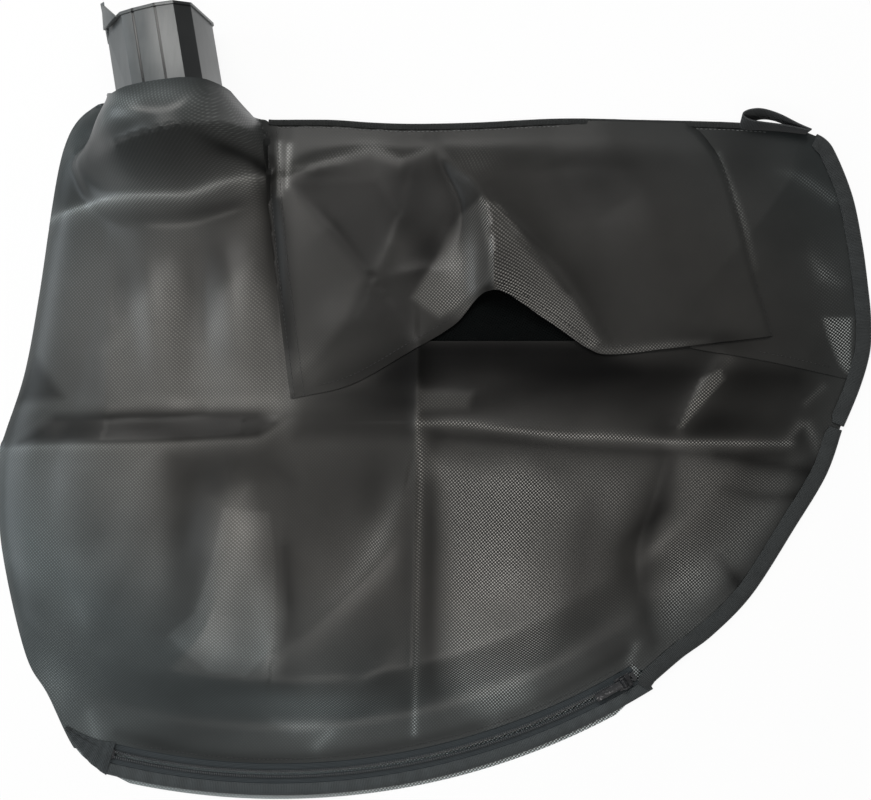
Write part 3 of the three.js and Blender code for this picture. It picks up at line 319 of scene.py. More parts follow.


# Painted light and shade on the cloth's colour: 1 is a pale grey, and the plain cloth lies at the sheet's
# own level
FRONT_LIGHT_AND_SHADE = [
    # upper left: painted shade on the slope behind the neck, a painted highlight on its ridge, and painted
    # light on lobes with crisp borders
    Swell((-215, 80), 130, 80, 0, 0.22),
    Facet(((-199, 105), (-182, 76), (-175, 42), (-168, -4), (-246, -4), (-249, 38), (-228, 68)), 0.13, 16),
    Facet(((-137, 105), (-124, 68), (-111, 21), (-118, -4), (-168, -6), (-175, 38), (-162, 80)), 0.15, 14),
    Swell((-183, 74), 8, 28, 0, -0.10),
    Facet(((-301, 32), (-279, 2), (-316, -2)), -0.22, 10),
    Swell((-190, 172), 60, 20, 0, -0.06),
    Swell((-272, 190), 14, 26, 0, 0.16),
    Crest(((-217, 204), (-188, 211), (-162, 205)), (0.1, 0.24, 0.1), 7, 7, 3),
    Crest((*SLOPE_RIDGE, (-128, 167)), (0.10, 0.20, 0.18, 0.16, 0.16, 0.10), 3, 7, 2),
    Crest(((-160, 180), (-141, 181), (-128, 175)), (-0.05, -0.16, -0.16), 4, 5, 2),
    Crest(((-125, 172), (-123, 112), (-116, 60)), (-0.35, -0.25, -0.10), 4, 4, 2),
    # the fold that crosses to the left edge, with painted shade above and painted light below
    Facet(((-313, -32), (-285, -12), (-217, -8), (-132, -9), (-120, -17), (-132, -27), (-217, -31)),
          -0.26, 10),
    Crest(((-331, -38), (-299, -35), (-261, -34), (-203, -33), (-166, -31), (-132, -29), (-110, -16)),
          (0.15, 0.25, 0.25, 0.20, 0.25, 0.20, 0.05), 1.6, 5, 1),
    Facet(((-335, -38), (-203, -36), (-217, -76), (-240, -122), (-263, -167), (-335, -122)), 0.22, 30),
    Swell((-290, -170), 70, 90, 0, 0.16),
    # lower left
    Facet(((-203, -36), (-120, -30), (-108, -60), (-150, -58), (-196, -70)), -0.12, 26),
    Swell((-190, -100), 16, 50, 0, -0.10),
    Swell((-225, -110), 18, 50, 0, 0.14),
    Facet(((-165, -76), (-141, -66), (-130, -122), (-115, -160), (-120, -203), (-168, -194), (-177, -167),
           (-168, -122)), 0.26, 22),
    Crest(((-152, -70), (-148, -110), (-160, -150)), (0.10, 0.16, 0.05), 6, 10, 4),
    Crest(((-134, -150), (-124, -190)), (0.06, 0.14), 5, 8, 4),
    Swell((-182, -181), 16, 10, 0, 0.16),
    Swell((-92, -243), 30, 22, 0, 0.12),
    Swell((-200, -252), 60, 12, 0, -0.10),
    # between the middle and the vertical fold
    Crest(((-28, -74), (-41, -100), (-61, -134), (-90, -160)), (0.18, 0.30, 0.22, 0.05), 8, 9, 4),
    Swell((-35, -50), 26, 24, 0, -0.12),
    Swell((-75, -70), 30, 40, 0, -0.08),
    Swell((-35, -190), 26, 50, 0, -0.08),
    # the vertical fold: a thin painted highlight with a band of painted shade to its right
    Crest(((-13, 14), (-13, -21), (-11, -56), (-13, -122), (-14, -176), (-16, -252)),
          (0.10, 0.35, 0.28, 0.25, 0.25, 0.40), 1.6, 1.6, 0.8),
    Crest(((-3, -26), (-2, -60), (-4, -130), (-4, -200), (0, -240)),
          (-0.16, -0.20, -0.20, -0.16, -0.05), 5, 5, 5),
    # right of the vertical fold
    Facet(((-10, -29), (11, -53), (64, -48), (104, -76), (95, -152), (68, -220), (45, -245), (15, -222),
           (7, -182), (7, -100)), 0.26, 26),
    Swell((45, -137), 50, 24, 80, 0.10),
    Swell((110, -62), 45, 16, 0, 0.12),
    Facet(((177, -36), (193, -34), (277, -44), (262, -82), (235, -122), (201, -152), (174, -122),
           (157, -112), (176, -84)), 0.14, 18),
    Crest(((177, -49), (174, -79), (142, -107), (142, -136)), (-0.12, -0.16, -0.14, -0.06), 8, 8, 3),
    Swell((125, -188), 36, 22, 0, -0.12),
    Crest(((290, -45), (255, -105), (205, -160)), (-0.14, -0.12, -0.08), 8, 8, 4),
    # the right fold line, and what lies above it
    Crest(((-13, -17.5), (19, -17.5), (54, -22), (95, -26.6), (127, -27.4), (174, -31), (212, -32),
           (269, -33)), (0.35, 0.45, 0.45, 0.45, 0.40, 0.40, 0.45, 0.3), 1.8, 1.8, 0.8),
    Crest(((5, -27), (54, -31), (127, -37), (212, -41), (262, -41)),
          (-0.12, -0.16, -0.16, -0.18, -0.1), 3, 4, 3),
    Swell((150, 8), 175, 28, 0, -0.24),
    Crest(((-20, 28), (100, 22), (270, 18)), (-0.14, -0.20, -0.16), 12, 12, 5),
    Facet(((-12, 8), (28, 6), (24, -6), (-12, -7)), 0.24, 8),
    Facet(((-14, 44), (120, 44), (150, 20), (70, 4), (-14, 12)), -0.10, 20),
    Facet(((-105, 2), (-55, 14), (-18, 36), (-16, -28), (-105, -28)), -0.14, 16),
    Crest(((219, 30), (183, -23)), (0.22, 0.20), 6, 6, 3),
    # the slope behind the neck, and the lobes' ends
    Swell((-150, 182), 30, 28, 0, 0.10),
    Swell((-205, 160), 50, 16, 0, 0.10),
    Crest((*SLOPE_RIDGE, (-128, 167)), (0.24, 0.40, 0.48, 0.52, 0.48, 0.30), 1.2, 3.2, 0.8),
    Facet(((-226, 214), (-204, 208), (-204, 196), (-238, 190)), 0.20, 10),
    Swell((-158, 226), 26, 14, 0, -0.16),
    Swell((-158, 128), 22, 20, 0, -0.14),
    Swell((-150, 12), 60, 16, 0, 0.12),
    # smaller patches below
    *swells(
        (205, -14, 45, 10, -0.14), (280, -28, 16, 16, -0.14), (-208, -85, 12, 40, 0.10),
        (90, -110, 18, 36, -0.12), (182, -140, 14, 20, 0.12), (-268, -215, 30, 30, 0.06),
        (-90, -228, 70, 12, 0.16), (-258, 180, 22, 26, -0.18), (-148, 190, 20, 24, 0.14),
        (-138, 160, 9, 24, 0.16),
    ),
    Swell((-170, 143), 60, 9, 6, -0.12),
    *swells(
        (-160, 100, 40, 20, -0.12), (-218, 104, 22, 18, -0.08), (208, 40, 26, 10, -0.16),
        (-22, 18, 22, 12, -0.18), (-170, -3, 95, 7, 0.16), (-115, -2, 16, 14, 0.12),
        (-10, -2, 74, 10, -0.12), (218, -24, 50, 10, -0.16), (-322, -90, 12, 64, -0.12),
        (-206, -128, 14, 28, 0.12), (-137, -94, 12, 14, 0.14),
    ),
    Swell((190, -135), 26, 32, 20, 0.12),
    *swells(
        (88, -186, 24, 14, 0.14), (-290, -212, 16, 26, 0.18), (-142, -175, 18, 32, -0.12),
        (28, -208, 36, 14, 0.14), (-276, -142, 26, 16, -0.12), (-163, 84, 14, 24, -0.10),
        (-230, 88, 16, 12, -0.10), (-195, -22, 40, 8, -0.10), (50, -24, 40, 7, -0.10),
        (180, -24, 22, 8, -0.10), (2, -50, 20, 10, 0.14), (-160, -76, 14, 24, -0.14),
        (-250, -250, 34, 12, 0.14), (48, -158, 20, 16, -0.12), (178, -162, 12, 16, 0.12),
        (-23, -100, 9, 44, -0.11), (-114, -206, 16, 12, -0.12),
    ),
    # crisp folds of the right quadrant
    Facet(((212, 23), (216, 16), (193, -10), (183, -22), (181, -20), (198, 16)), 0.34, 3),
    Crest(((266, -31), (278, -17), (286, -27), (289, -40)), (0.20, 0.34, 0.34, 0.12), 3, 3, 1.5),
    Crest(((293, 10), (280, -2)), (0.20, 0.20), 2.5, 2.5, 1),
    Crest(((212, -42), (240, -47), (262, -50), (283, -55)), (-0.18, -0.30, -0.30, -0.18), 5, 5, 3),
    Crest(((179, -38), (165, -86), (158, -119), (159, -162), (165, -182)),
          (-0.08, -0.18, -0.18, -0.20, -0.14), 5, 8, 4),
    Crest(((215, -120), (228, -137), (238, -150)), (-0.14, -0.24, -0.20), 4, 4, 2),
    Crest(((217, -66), (245, -73), (285, -72)), (-0.10, -0.22, -0.14), 4, 5, 2),
    Crest(((147, -198), (152, -186)), (0.30, 0.30), 2.5, 2.5, 1),
    # and of the lower left
    Facet(((-200, -176), (-179, -158), (-167, -122), (-158, -80), (-124, -84), (-119, -122), (-119, -182),
           (-142, -207), (-170, -202)), 0.10, 4),
    Crest(((-112, -110), (-109, -160), (-116, -190)), (-0.12, -0.18, -0.06), 6, 3, 2),
    Crest(((-122, -243), (-108, -247), (-90, -247)), (0.10, 0.25, 0.15), 3, 3, 2),
    Crest(((-90, -262), (-80, -252)), (0.20, 0.20), 3, 3, 2),
    Crest(((-262, -238), (-257, -256)), (0.14, 0.20), 4, 4, 2),
    # shadow where the slope meets the flap's seam
    Crest(((-172, 187), (-152, 182), (-134, 176)), (-0.08, -0.28, -0.30), 3, 6, 2),
    # painted shade beside the vent's hem and the zip
    Crest(((-70, 37), (60, 38), (120, 36)), (-0.20, -0.30, -0.20), 8, 8, 4),
    Crest(((-241, -252), (-180, -268), (-119, -272), (-30, -262), (60, -236), (146, -190)),
          (-0.12, -0.18, -0.18, -0.16, -0.14, -0.10), 4, 6, 3),
    *swells(
        (-272, 155, 18, 14, -0.14), (-160, 110, 14, 12, -0.08), (45, 18, 28, 9, 0.10),
        (-46, -76, 14, 22, -0.12), (-247, -98, 26, 24, -0.12), (-22, -232, 12, 14, -0.08),
        (134, -82, 14, 20, 0.10), (66, -228, 14, 10, 0.12),
    ),
]

# The back panel is deep in shadow under the netting
BACK_PAINTED_SHADE = [
    Facet(((-120, 36), (330, 36), (330, 215), (-120, 215)), -1.1, 6),
    Swell((165, -206), 14, 14, 0, -0.8),
]
FLAP_LIGHT_AND_SHADE = [
    # left part
    Facet(((-108, 166), (-78, 176), (-50, 184), (-28, 176), (-2, 188), (-2, 210), (-108, 210)), 0.14, 8),
    Crest(((-108, 174), (-76, 183), (-48, 191), (-26, 183), (-3, 191)),
          (0.12, 0.16, 0.26, 0.16, 0.18), 3, 5, 2),
    Facet(((-108, 158), (-65, 108), (-52, 92), (-66, 60), (-90, 30), (-104, 20)), 0.12, 10),
    Facet(((-106, 162), (-48, 93), (-29, 137), (-44, 165)), -0.06, 8),
    Swell((-36, 112), 6, 20, -20, 0.10),
    # the fold that stands up
    Facet(((17, 138), (34, 150), (42, 114), (42, 88), (3, 61), (-18, 76), (-3, 100)), 0.24, 6),
    Swell((14, 92), 14, 22, -30, 0.12),
    Facet(((-3, 196), (6, 192), (32, 154), (17, 138), (8, 168)), 0.04, 4),
    Facet(((32, 150), (42, 84), (46, 79), (81, 58), (113, 38), (123, 42), (102, 73), (71, 111), (47, 143)),
          0.27, 4),
    Crest(((44, 137), (74, 104), (97, 79)), (-0.10, -0.22, -0.16), 1.4, 1.4, 0.6),
    Swell((62, 80), 26, 10, -35, 0.10),
    Swell((36, 96), 6, 26, 0, -0.10),
    Crest(((-7, 199), (7, 172), (17, 138), (-2, 100)), (-0.10, -0.16, -0.20, -0.05), 4, 3, 2),
    Crest(((-60, 12), (-19, 36), (14, 56), (41, 81)), (-0.08, -0.10, -0.12, -0.12), 10, 10, 4),
    # right part
    Swell((230, 185), 26, 30, 0, -0.08),
    Facet(((292, 62), (315, 62), (314, 18), (306, 27), (296, 49)), 0.46, 4),
    Swell((300, 80), 18, 50, 0, 0.06),
    Crest(((284, 107), (292, 95), (306, 88)), (0.12, 0.30, 0.12), 6, 4, 2),
    Crest(((258, 173), (277, 167), (300, 152)), (0.06, 0.20, 0.20), 3, 3, 2),
    Crest(((214, 186), (229, 140), (240, 98)), (0.22, 0.26, 0.06), 1.2, 2, 0.8),
    Crest(((114, 40), (132, 36), (170, 40), (203, 44)), (0.15, 0.30, 0.30, 0.10), 2.5, 2.5, 1),
    # painted highlights on the gathers beside the seam, and painted shade
    Crest(((-118, 194), (-117, 154)), (0.60, 0.50), 1.2, 1.2, 1),
    Crest(((-110.5, 192), (-111.5, 160)), (0.75, 0.50), 1.2, 1.2, 1),
    Crest(((-124, 200), (-119, 110), (-110, 40)), (-0.10, -0.20, -0.12), 3, 3, 2),
    Swell((-20, 160), 22, 40, 0, -0.14),
    Swell((-95, 170), 12, 16, 0, -0.08),
    Facet(((-108, 0), (-108, 212), (-4, 212), (16, 150), (-16, 76), (-20, 30)), -0.09, 12),
    Swell((125, 172), 42, 28, 0, -0.12),
    Swell((22, 70), 22, 10, 0, 0.12),
    Swell((90, 62), 16, 8, -30, 0.08),
    Swell((-100, 18), 18, 14, 0, 0.12),
    Swell((208, 44), 30, 8, 0, -0.12),
    Swell((-95, 28), 26, 24, 0, 0.10),
    Swell((-64, 38), 30, 16, 20, 0.10),
    *swells(
        (18, 132, 10, 16, -0.14), (-2, 110, 12, 14, -0.12), (36, 72, 22, 9, 0.12),
        (28, 182, 20, 14, 0.10), (118, 156, 26, 20, -0.10), (-26, 110, 8, 14, 0.12),
        (47, 82, 10, 12, 0.12), (22, 64, 12, 7, 0.12),
    ),
]


class Bag:
    """The bag's outlines and heights in plan millimetres, shared by every piece of it."""

    dome_height = 17.0
    dome_reach = 45.0
    bound_rise_at = 24.0
    bound_soft = 20.0
    bound_start = 3.6
    zip_rise = 45.0
    hump_left = 90.0
    hump_right = 58.0
    hump_slope = 80.0
    hump_fall = 2.4
    hump_top = 90.0
    hump_throat = 78.0
    throat_ease = 4.0
    throat_power = 4.5
    hump_blend = 12.0
    zip_ease = 30.0
    seam_ease = 30.0
    flap_ease = 40.0
    flap_soft = 1.5
    flange_length = 4.0
    edge_roll = 3.5
    roll_reach = 12.0
    outline_step = 3.0
    coarse_step = 14.0
    back_sag = 0.35
    zip_inset_left, zip_inset_right, zip_past = math.radians(2), math.radians(2.9), math.radians(0.4)
    left_cut, plain_cut = 28.0, 24.0
    power_left, power_right = 2.0, 2.4
    droop_left, droop_right = 1.3, 0.8
    tape_low, tape_thick = 1.0, 0.6

    hem_over_neck = (
        (37.5, 57.5), (32, 55.5), (24, 53.5), (14, 51.8), (0, 51), (-10, 51.2), (-22, 52), (-33, 54),
    )
    hem_shoulder = 57.0
    hem_left = 54.0

    def __init__(self) -> None:
        """Works out the outlines from the given points."""
        self.edges = {}
        throat_half = NECK_WIDTH / 2 + CLEARANCE + HEM_THICKNESS
        self.throat_at = HEM_AT * math.cos(NECK_PITCH) - NECK_HEIGHT / 2 * math.sin(NECK_PITCH)
        for kind, step in (("fine", self.outline_step), ("coarse", self.coarse_step)):
            left = smooth([self.throat_point(-throat_half, self.throat_at), *LEFT_EDGE], step)
            zip_ends = ZIP_START + self.zip_inset_left, ZIP_END - self.zip_inset_right
            back_zip = zip_arc(BACK_PAST_ZIP, *zip_ends, step)
            lower = smooth(RIGHT_LOWER_EDGE, step)
            upper = smooth([tuple(lower[-1]), *RIGHT_UPPER_EDGE], step)[1:]
            top = smooth([tuple(upper[-1]), *TOP_EDGE], step)[1:]
            throat_end = self.throat_point(throat_half, self.throat_at)
            throat = smooth([tuple(top[-1]), *THROAT_RIGHT, throat_end], step)
            bound = np.vstack([lower, upper, top])
            inset = aside(bound, EDGE_INSET)
            front_zip = zip_arc(-ZIP_HEM_AT, ZIP_START, ZIP_END + self.zip_past, step)
            kept = left[run_of(left) < run_of(left)[-1] - self.left_cut]
            kept = kept[self.from_neck(*kept.T)[0] < -self.hem_left]
            shoulder = throat[1:][self.from_neck(*throat[1:].T)[1] > self.hem_shoulder]
            self.edges[kind] = {
                "left": left, "lower": lower, "upper": upper, "top": top, "bound": bound,
                "back": np.vstack([left, back_zip, inset, throat[1:]]),
                "front": np.vstack([kept, front_zip, inset, shoulder, self.hem_line()]),
                "front_zip": front_zip,
                "plain": np.vstack([left[run_of(left) > self.plain_cut], back_zip]),
                "flap_left": smooth(FLAP_LEFT_SEAM, step),
            }

    @staticmethod
    def throat_point(across: float, inward: float) -> tuple[float, float]:
        """The plan place at a distance across the neck and inwards from its rim."""
        cos, sin = math.cos(NECK_LEAN), math.sin(NECK_LEAN)
        return NECK_PLACE[0] + cos * across + sin * inward, NECK_PLACE[1] + sin * across - cos * inward

    def hem_line(self) -> Array:
        """The cloth's hem over the neck, from the right to the left."""
        return np.array([self.throat_point(across, inward) for across, inward in self.hem_over_neck])

    @staticmethod
    def from_neck(x: Array, y: Array) -> tuple[Array, Array]:
        """How far plan places lie across the neck, and inwards from its rim."""
        cos, sin = math.cos(NECK_LEAN), math.sin(NECK_LEAN)
        dx, dy = x - NECK_PLACE[0], y - NECK_PLACE[1]
        return dx * cos + dy * sin, dx * sin - dy * cos

    def back(self, x: Array, y: Array) -> Array:
        """Underside of the back panel: on the floor, and up under the neck."""
        across, inward = self.from_neck(x, y)
        held = np.clip(inward, 0, HEM_AT + HEM_BAND / 2)
        under = RIM_BEAD + held * math.tan(NECK_PITCH) - CLEARANCE - HEM_THICKNESS - self.back_sag
        trough = 1 - bend(np.abs(across), NECK_WIDTH / 2, NECK_WIDTH)
        return under * (1 - bend(inward, NECK_LENGTH, 2 * NECK_LENGTH)) * trough

    def hump(self, x: Array, y: Array) -> Array:
        """Rise of the cloth over the neck and down behind it."""
        across, inward = self.from_neck(x, y)
        opened = bend(inward, self.throat_at, NECK_LENGTH)
        narrow = NECK_WIDTH / 2 + CLEARANCE + HEM_THICKNESS + self.throat_ease
        at_left = across < 0
        half = narrow + (np.where(at_left, self.hump_left, self.hump_right) - narrow) * opened
        square, steep = self.throat_power, 1 / self.throat_power
        power = square + (np.where(at_left, self.power_left, self.power_right) - square) * opened
        droop = steep + (np.where(at_left, self.droop_left, self.droop_right) - steep) * opened
        rise = bend(inward, HEM_AT - 2 * self.flange_length, NECK_LENGTH - 2 * self.flange_length)
        top = self.hump_throat + (self.hump_top - self.hump_throat) * rise
        fallen = np.clip((inward - NECK_LENGTH - 1) / self.hump_slope, 0, 1)
        share = np.minimum(1, np.abs(across) / half)
        return top * (1 - fallen) ** self.hump_fall * (1 - share**power) ** droop

    def front(self, x: Array, y: Array) -> Array:
        """Underside of the front panel, with its fullness, hump and folds."""
        edges = self.edges["coarse"]
        in_plain = nearest(edges["plain"], x, y)[0]
        soft = self.bound_soft
        past_rise = nearest(edges["bound"], x, y)[0] - self.bound_rise_at
        in_bound = np.maximum(0, (past_rise + np.hypot(past_rise, soft)) / 2 - self.bound_start)
        reach = self.dome_reach
        dome = self.dome_height * (1 - np.exp(-in_plain / reach)) * (1 - np.exp(-in_bound / reach))
        folds = sum(fold.lift(x, y) for fold in FRONT_FOLDS)
        share = bend(np.minimum(in_plain, 2 * in_bound), 0, self.seam_ease)
        in_left = nearest(edges["left"], x, y)[0]
        turned = np.clip(1 - in_left / self.roll_reach, 0, 1)
        roll = self.edge_roll * np.sqrt(1 - turned**2) - LAYER * turned
        hump, plain = self.hump(x, y), dome + folds * share
        blend = self.hump_blend * bend(hump, 0, self.hump_blend)
        full = np.maximum((hump + plain + np.sqrt((hump - plain) ** 2 + blend**2)) / 2, 0)
        near_zip = 1 - bend(nearest(edges["front_zip"], x, y)[0], self.zip_ease, 2 * self.zip_ease)
        on_tape = LAYER + self.tape_low + CLEARANCE + self.tape_thick + CLEARANCE
        seam = 2 * LAYER + (max(on_tape, 2 * LAYER) - 2 * LAYER) * near_zip
        falls_at = ZIP_RADIUS - ZIP_HEM_AT - self.bound_rise_at
        past = np.hypot(x - ZIP_CENTRE[0], y - ZIP_CENTRE[1]) - falls_at
        down = 1 - bend(past, -self.zip_rise, 0)
        rolled = roll * (1 - bend(in_left, self.roll_reach, 4 * self.roll_reach))
        slope = sum(fold.lift(x, y) for fold in SLOPE_FOLDS) * bend(in_left, 0, self.seam_ease / 2)
        return self.back(x, y) + seam + np.maximum(full + rolled + slope, 0) * down

    def vent(self, x: Array, y: Array) -> Array:
        """Underside of the netting, a layer below the front panel."""
        return self.front(x, y) - LAYER

    def flap(self, x: Array, y: Array) -> Array:
        """Underside of the dust flap, a layer above the front panel, with its own folds."""
        lift = sum(fold.lift(x, y) for fold in FLAP_FOLDS)
        in_bound = nearest(self.edges["coarse"]["bound"], x, y)[0] - self.bound_rise_at / 2
        from_seam = nearest(self.edges["coarse"]["flap_left"], x, y)[0]
        eased = bend(in_bound, 0, self.seam_ease) * bend(from_seam, self.flap_ease / 10, self.flap_ease)
        soft = self.flap_soft
        return self.front(x, y) + LAYER + (lift + np.sqrt(lift**2 + soft**2) - soft) / 2 * eased


@dataclass(frozen=True)
class Above:
    """A surface at a margin above one of the bag's."""

    surface: Height
    margin: float

    def __call__(self, x: Array, y: Array) -> Array:
        """Height over the plan."""
        return self.surface(x, y) + self.margin


BAG = Bag()
ZIP_JOINT = next(joint for joint in frame["joints"] if joint["name"] == "zip_run")
SHIFT = np.array([*(at / MM - centre for at, centre in zip(ZIP_JOINT["pos_m"], ZIP_CENTRE)), 0.0])


def to_frame(places: Array) -> Array:
    """Plan places with heights, in millimetres, as metres in the frame."""
    return (np.asarray(places, float) + SHIFT) * MM


def without_corner(outline: Array, left: float, low: float) -> Array:
    """An outline less what lies right of one line and above another."""
    inside = (outline[:, 0] > left) & (outline[:, 1] > low)
    first = int(np.argmax(inside & ~np.roll(inside, 1)))
    turned = np.roll(outline, -first, axis=0)
    count = int(inside.sum())
    entry, leave = turned[-1], turned[count]
    share = (low - entry[1]) / (turned[0][1] - entry[1])
    entry_x = entry[0] + share * (turned[0][0] - entry[0])
    corner = [(entry_x, low), (left, low), (left, leave[1])]
    return np.vstack([turned[count:], corner])


def lines(*stretches: tuple[float, float, float]) -> Array:
    """Grid lines over stretches of (start, end, step) that follow on from each other."""
    parts = [np.arange(start, end, step) for start, end, step in stretches]
    return np.concatenate([*parts, [stretches[-1][1]]])


# Object and mesh helpers


def deselect() -> None:
    """Nothing stays selected."""
    bpy.ops.object.select_all(action="DESELECT")


def activate(obj: Piece) -> Piece:
    """The object alone is selected and active."""
    deselect()
    obj.select_set(True)
    bpy.context.view_layer.objects.active = obj
    return obj


def finished(obj: Piece, kind: str, **settings: object) -> Piece:
    """Adds a modifier with settings and applies it."""
    activate(obj)
    modifier = obj.modifiers.new(kind.title(), kind)
    for name, value in settings.items():
        setattr(modifier, name, value)
    bpy.ops.object.modifier_apply(modifier=modifier.name)
    return obj


def edited(operator: Callable, **settings: object) -> None:
    """Runs an edit-mode operator over the whole of the active object's mesh."""
    bpy.ops.object.mode_set(mode="EDIT")
    bpy.ops.mesh.select_all(action="SELECT")
    operator(**settings)
    bpy.ops.object.mode_set(mode="OBJECT")


def bevelled(obj: Piece, width: float, angle: float = 30, segments: int = 2) -> Piece:
    """Rounds the edges that are sharper than the angle, by a width in millimetres."""
    return finished(obj, "BEVEL", width=width * MM, segments=segments, limit_method="ANGLE",
                    angle_limit=math.radians(angle))


def rounded(obj: Piece, angle: float = 40) -> Piece:
    """Shades an object smooth, except over edges sharper than the angle."""
    activate(obj)
    bpy.ops.object.shade_smooth_by_angle(angle=math.radians(angle))
    return obj


def mesh_object(name: str, places: Array, faces: list,
                uv: Array | None = None) -> Piece:
    """A mesh object at the origin.

    Args:
        name: Name of the piece.
        places: Vertex places in frame metres.
        faces: Vertex indices of each face.
        uv: U and V of each vertex, in metres along and across the cloth.

    Returns:
        The object, linked to the scene.
    """
    mesh = bpy.data.meshes.new(name)
    mesh.from_pydata([tuple(p) for p in places], [], [tuple(int(i) for i in f) for f in faces])
    if uv is not None:
        layer = mesh.uv_layers.new(name="along")
        corners = np.zeros(len(mesh.loops), int)
        mesh.loops.foreach_get("vertex_index", corners)
        layer.data.foreach_set("uv", np.asarray(uv, np.float32)[corners].ravel())
    mesh.update()
    obj = bpy.data.objects.new(name, mesh)
    bpy.context.scene.collection.objects.link(obj)
    return obj


def merged(obj: Piece, distance: float) -> Piece:
    """Merges vertices that lie closer than a distance in metres."""
    work = bmesh.new()
    work.from_mesh(obj.data)
    bmesh.ops.remove_doubles(work, verts=work.verts, dist=distance)
    bmesh.ops.dissolve_degenerate(work, edges=work.edges, dist=distance / 4)
    work.to_mesh(obj.data)
    work.free()
    return obj


def copied(name: str, node: str, distance: float, flat: float) -> Piece:
    """A copy of a hard CAD piece, ready for its edges to be rounded.

    Args:
        name: Name of the piece.
        node: Name of the CAD node.
        distance: Vertices closer than this are merged, in millimetres.
        flat: Faces that meet at less than this are joined, in degrees.

    Returns:
        The copy, which is the active object.
    """
    piece = bpy.data.objects.new(name, frame["nodes"][node].data.copy())
    bpy.context.scene.collection.objects.link(piece)
    activate(merged(piece, distance * MM))
    edited(bpy.ops.mesh.dissolve_limited, angle_limit=math.radians(flat))
    return piece


def cloth_sheet(name: str, outline: Array, height: Height, grid: tuple[Array, Array],
                thickness: float = CLOTH, relax: int = 0) -> Piece:
    """A sheet of cloth cut to an outline and raised to a height function.

    Args:
        name: Name of the piece.
        outline: The cut's closed outline in plan.
        height: Underside of the cloth over the plan.
        grid: Lines across and along that the cloth's mesh follows.
        thickness: Of the cloth, in millimetres.
        relax: Rounds of smoothing where the cloth is steep.

    Returns:
        The closed sheet.
    """
    across, along = np.meshgrid(*grid)
    mid_x = (across[:-1, :-1] + across[1:, 1:]) / 2
    mid_y = (along[:-1, :-1] + along[1:, 1:]) / 2
    kept = contains(outline, mid_x, mid_y)
    index = np.arange(across.size).reshape(across.shape)
    corners = [index[:-1, :-1], index[:-1, 1:], index[1:, 1:], index[1:, :-1]]
    quads = np.column_stack([corner[kept] for corner in corners])
    count = np.bincount(quads.ravel(), minlength=across.size)
    points = np.column_stack([across.ravel(), along.ravel()])
    rim = (count > 0) & (count < 4)
    points[rim] = snapped(outline, points[rim])
    used = np.flatnonzero(count)
    renumber = np.zeros(across.size, int)
    renumber[used] = np.arange(len(used))
    x, y = points[used].T
    places = to_frame(np.column_stack([x, y, height(x, y)]))
    sheet = merged(mesh_object(name, places, renumber[quads]), 0.5 * MM)
    if relax:
        relaxed(sheet, relax)
    return rounded(finished(sheet, "SOLIDIFY", thickness=thickness * MM, offset=1.0), 55)


def snapped(outline: Array, points: Array) -> Array:
    """Each point's nearest place on a closed outline."""
    ring = np.vstack([outline, outline[:1]])
    best = np.full(len(points), np.inf)
    result = points.copy()
    for a, b in zip(ring[:-1], ring[1:]):
        d = b - a
        share = np.clip((points - a) @ d / (d @ d + 1e-12), 0, 1)
        place = a + share[:, None] * d
        away = np.linalg.norm(points - place, axis=1)
        closer = away < best
        best[closer] = away[closer]
        result[closer] = place[closer]
    return result


def relaxed(obj: Piece, rounds: int, steep: float = 0.6) -> None:
    """Smooths vertices where the cloth stands steep, in place."""
    work = bmesh.new()
    work.from_mesh(obj.data)
    work.normal_update()
    chosen = [v for v in work.verts if not v.is_boundary and abs(v.normal.z) < steep]
    for _ in range(rounds):
        bmesh.ops.smooth_vert(work, verts=chosen, factor=0.5, use_axis_x=True, use_axis_y=True,
                              use_axis_z=True)
    work.to_mesh(obj.data)
    work.free()


def with_painted_light(obj: Piece, level: float, patches: list) -> Piece:
    """Stores painted light and shade at each of a sheet's vertices.

    Args:
        obj: The sheet.
        level: Painted light level of the plain cloth.
        patches: Soft patches of painted light and shade, paler or darker.

    Returns:
        The sheet.
    """
    places = np.zeros(3 * len(obj.data.vertices))
    obj.data.vertices.foreach_get("co", places)
    x, y, _ = (places.reshape(-1, 3) / MM - SHIFT).T
    painted_light = level + sum((patch.lift(x, y) for patch in patches), np.zeros(len(x)))
    layer = obj.data.attributes.new("painted_light", "FLOAT", "POINT")
    layer.data.foreach_set("value", np.clip(painted_light, 0.02, 1.6).astype(np.float32))
    return obj


def swept(name: str, path: Array, sections: Array, tube: bool) -> Piece:
    """A band or tube that runs along a path.

    Args:
        name: Name of the piece.
        path: Points of the run, used for the lengths that the pattern follows.
        sections: Places of each section's points, shaped (steps, points, 3), in plan millimetres.
        tube: Whether each section closes on itself and the ends are covered.

    Returns:
        The band, with U along it and V across.
    """
    steps, count, _ = sections.shape
    faces = []
    for i in range(steps - 1):
        for k in range(count if tube else count - 1):
            after = (k + 1) % count
            faces.append((i * count + k, i * count + after, (i + 1) * count + after, (i + 1) * count + k))
    if tube:
        faces.append(tuple(range(count - 1, -1, -1)))
        faces.append(tuple((steps - 1) * count + k for k in range(count)))
    run = run_of(np.asarray(path, float))
    girth = np.concatenate([[0], np.cumsum(np.linalg.norm(np.diff(sections[0], axis=0), axis=1))])
    uv = np.stack(np.meshgrid(run, girth, indexing="ij"), axis=-1).reshape(-1, 2) * MM
    return mesh_object(name, to_frame(sections.reshape(-1, 3)), faces, uv)


def outward(obj: Piece) -> Piece:
    """Turns a closed piece's faces outwards."""
    activate(obj)
    edited(bpy.ops.mesh.normals_make_consistent, inside=False)
    return obj


def taped(name: str, path: Array, rows: list, thick: float) -> Piece:
    """A strip of tape along a path, from the run of each point of its section."""
    band = outward(swept(name, path, np.stack(rows, axis=1), tube=False))
    return rounded(finished(band, "SOLIDIFY", thickness=thick * MM, offset=0.0), 60)


